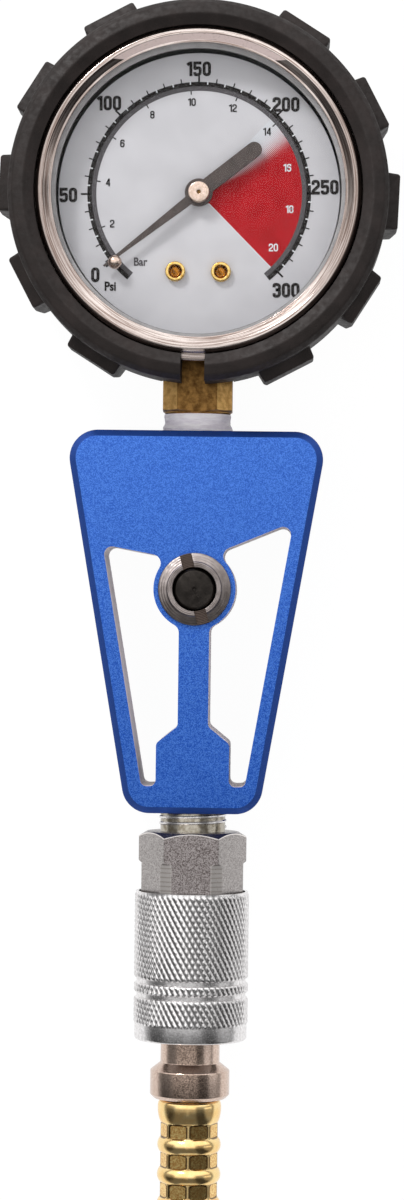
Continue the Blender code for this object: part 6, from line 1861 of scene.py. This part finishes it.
def sleeve(looks):
    """Knurled sleeve with two plain grooves and a plain nose."""
    row_step = 2 * math.pi * SLEEVE_RADIUS / KNURL_STARTS / KNURL_SAMPLES / math.tan(KNURL_HELIX)
    count = KNURL_STARTS * KNURL_SAMPLES
    edges = [KNURL_START]
    for place in SLEEVE_GROOVES:
        edges += [place - SLEEVE_GROOVE_HALF, place + SLEEVE_GROOVE_HALF]
    edges.append(KNURL_END)
    path = [(SLEEVE_RADIUS - KNURL_RIM, 0.0, 0)]
    for start, end in zip(edges[::2], edges[1::2]):
        rows = math.ceil((end - start) / row_step)
        if start > KNURL_START:
            path.append((SLEEVE_RADIUS - SLEEVE_GROOVE_DEPTH, start - KNURL_RIM, 0))
        for row in range(rows + 1):
            fade = min(1.0, row, rows - row)
            path.append((SLEEVE_RADIUS - KNURL_RIM * (1 - fade), start + (end - start) * row / rows, fade))
        if end < KNURL_END:
            path.append((SLEEVE_RADIUS - SLEEVE_GROOVE_DEPTH, end + KNURL_RIM, 0))
    nose = SLEEVE_RADIUS - KNURL_RIM
    tail = softened([(nose, KNURL_END + KNURL_RIM), (nose, SLEEVE_LENGTH, SLEEVE_NOSE_EDGE),
                     (SLEEVE_MOUTH, SLEEVE_LENGTH), (SLEEVE_MOUTH, SLEEVE_LAND_END - SLEEVE_START)],
                    SMALL_EDGE)
    tail += [(SLEEVE_LAND, SLEEVE_LAND_END - SLEEVE_START), (SLEEVE_LAND, SLEEVE_LAND_START - SLEEVE_START),
             (SLEEVE_CAVITY, SLEEVE_LAND_START - SLEEVE_START), (SLEEVE_CAVITY, 0.0)]
    path += [(radius, along, 0) for radius, along in tail]
    rings = []
    depths = []
    for radius, along, share in path:
        ring = []
        for step in range(count):
            turn_share = step / count
            depth = share * (1 - knurl_height(turn_share, along)) if share else 0
            ring.append((*polar(radius - KNURL_DEPTH * depth, turn_share * 2 * math.pi),
                         SLEEVE_START + along))
            depths.append(depth)
        rings.append(ring)
    made = as_object("sleeve_knurled", stitch(rings, closed=True), COUPLER, LAID)
    made.data.attributes.new(GROOVE, "FLOAT", "POINT").data.foreach_set("value", depths)
    dress(made, looks["zinc_steel"], "sleeve", "zinc_steel", "coupler_sleeve")


def plug(looks):
    """Plug of the hose with its cone and collar."""
    bore = PLUG_BORE_RADIUS
    section = [(bore, PLUG_NOSE[1]), PLUG_NOSE, (PLUG_NOSE[0], PLUG_NOSE_END)]
    section += [(PLUG_RADIUS - depth, place, rounding) for depth, place, rounding in PLUG_PROFILE]
    section += [(PLUG_RADIUS, SLEEVE_END - PLUG_BEVEL), (PLUG_NECK_RADIUS, SLEEVE_END - PLUG_NECK_START),
                (PLUG_NECK_RADIUS, PLUG_NECK_END, EDGE), (COLLAR_RADIUS, COLLAR_START, WIDE_EDGE),
                (COLLAR_RADIUS, COLLAR_END - COLLAR_CHAMFER, EDGE),
                (COLLAR_RADIUS - COLLAR_CHAMFER, COLLAR_END, SMALL_EDGE), (BARB_RADIUS, COLLAR_END),
                (BARB_RADIUS, COLLAR_END + BARB_LENGTH, BARB_EDGE), (bore, COLLAR_END + BARB_LENGTH)]
    made = as_object("plug_turned", lathe(softened(section, FINE_EDGE, closed=True), ROUND), COUPLER, LAID)
    dress(made, looks["plug_nickel"], "hose", "warm_nickel", "hose_plug")


def ferrule(looks):
    """Crimped shell: round bulges between three rings of rounded flats."""
    count = FERRULE_FLATS * FERRULE_FLAT_SAMPLES
    length = FERRULE_END - FERRULE_START
    rows = math.ceil(length / FERRULE_ROW)
    rings = []
    panels = []
    borders = []
    for row in range(rows + 1):
        along = length * row / rows
        from_end = min(along, length - along)
        start_round = min(1.0, from_end / FERRULE_EDGE)
        rounding = (FERRULE_BULGE - FERRULE_RIDGE) * (1 - math.sqrt(start_round * (2 - start_round)))
        distance = min(abs(along - FIRST_CRIMP - number * CRIMP_PITCH) for number in range(CRIMP_COUNT))
        bulge_half = CRIMP_PITCH / 2 - CRIMP_HALF
        rise = min(1.0, max(0.0, distance - CRIMP_HALF) / bulge_half)
        if along < FIRST_CRIMP - CRIMP_HALF:
            rise = 1 - max(0.0, (along - SHOULDER_TOP) / (FIRST_CRIMP - CRIMP_HALF - SHOULDER_TOP))
        bulge = (FERRULE_BULGE - FERRULE_RIDGE) * (rise * (2 - rise)) ** BULGE_POWER
        plain = FERRULE_RIDGE + bulge - rounding
        ring = []
        for step in range(count):
            share = (step / FERRULE_FLAT_SAMPLES) % 1 - 0.5
            flat_radius = FERRULE_CRIMP / math.cos(share * 2 * math.pi / FERRULE_FLATS)
            outside = (2 * abs(share) / PANEL_SHARE) ** PANEL_POWER + (distance / CRIMP_HALF) ** PANEL_POWER
            pressed = smooth_step((1.0 - outside) / PANEL_EDGE)
            radius = plain + (min(flat_radius, FERRULE_RIDGE) - plain) * pressed
            panels.append(pressed)
            borders.append(1.0 if BORDER_START < outside < BORDER_END else 0.0)
            ring.append((*polar(radius, step * 2 * math.pi / count), FERRULE_START + along))
        rings.append(ring)
    seat = FERRULE_START + HOSE_SEAT
    for radius, along in ((HOSE_BORE_RADIUS, FERRULE_END), (HOSE_BORE_RADIUS, seat),
                          (BARB_RADIUS + FIT, seat), (BARB_RADIUS + FIT, FERRULE_START)):
        rings.append(hoop(radius, along, count))
        panels += [0.0] * count
        borders += [0.0] * count
    made = as_object("ferrule_crimped", stitch(rings, closed=True), COUPLER, LAID)
    made.data.attributes.new(PANEL, "FLOAT", "POINT").data.foreach_set("value", panels)
    made.data.attributes.new(GROOVE, "FLOAT", "POINT").data.foreach_set("value", borders)
    dress(made, looks["bright_brass"], "hose", "bright_brass", "ferrule")


def dress_nodes(looks):
    """Give every node that is still shown the look of its material slot."""
    slots = {part["node"]: part["material_slot"] for part in frame["record"]["subparts"]}
    for name, node in frame["nodes"].items():
        node.data.materials.clear()
        node.data.materials.append(looks[slots[name]])


bpy.context.scene.view_settings.view_transform = "Standard"
camera()
studio()
looks = make_looks()
dress_nodes(looks)
for build in (rubber_boot, bezel, lens_and_gasket, dial, dial_screws, pointer, stem, block, nut_and_button,
              coupler_body, sleeve, plug, ferrule):
    build(looks)
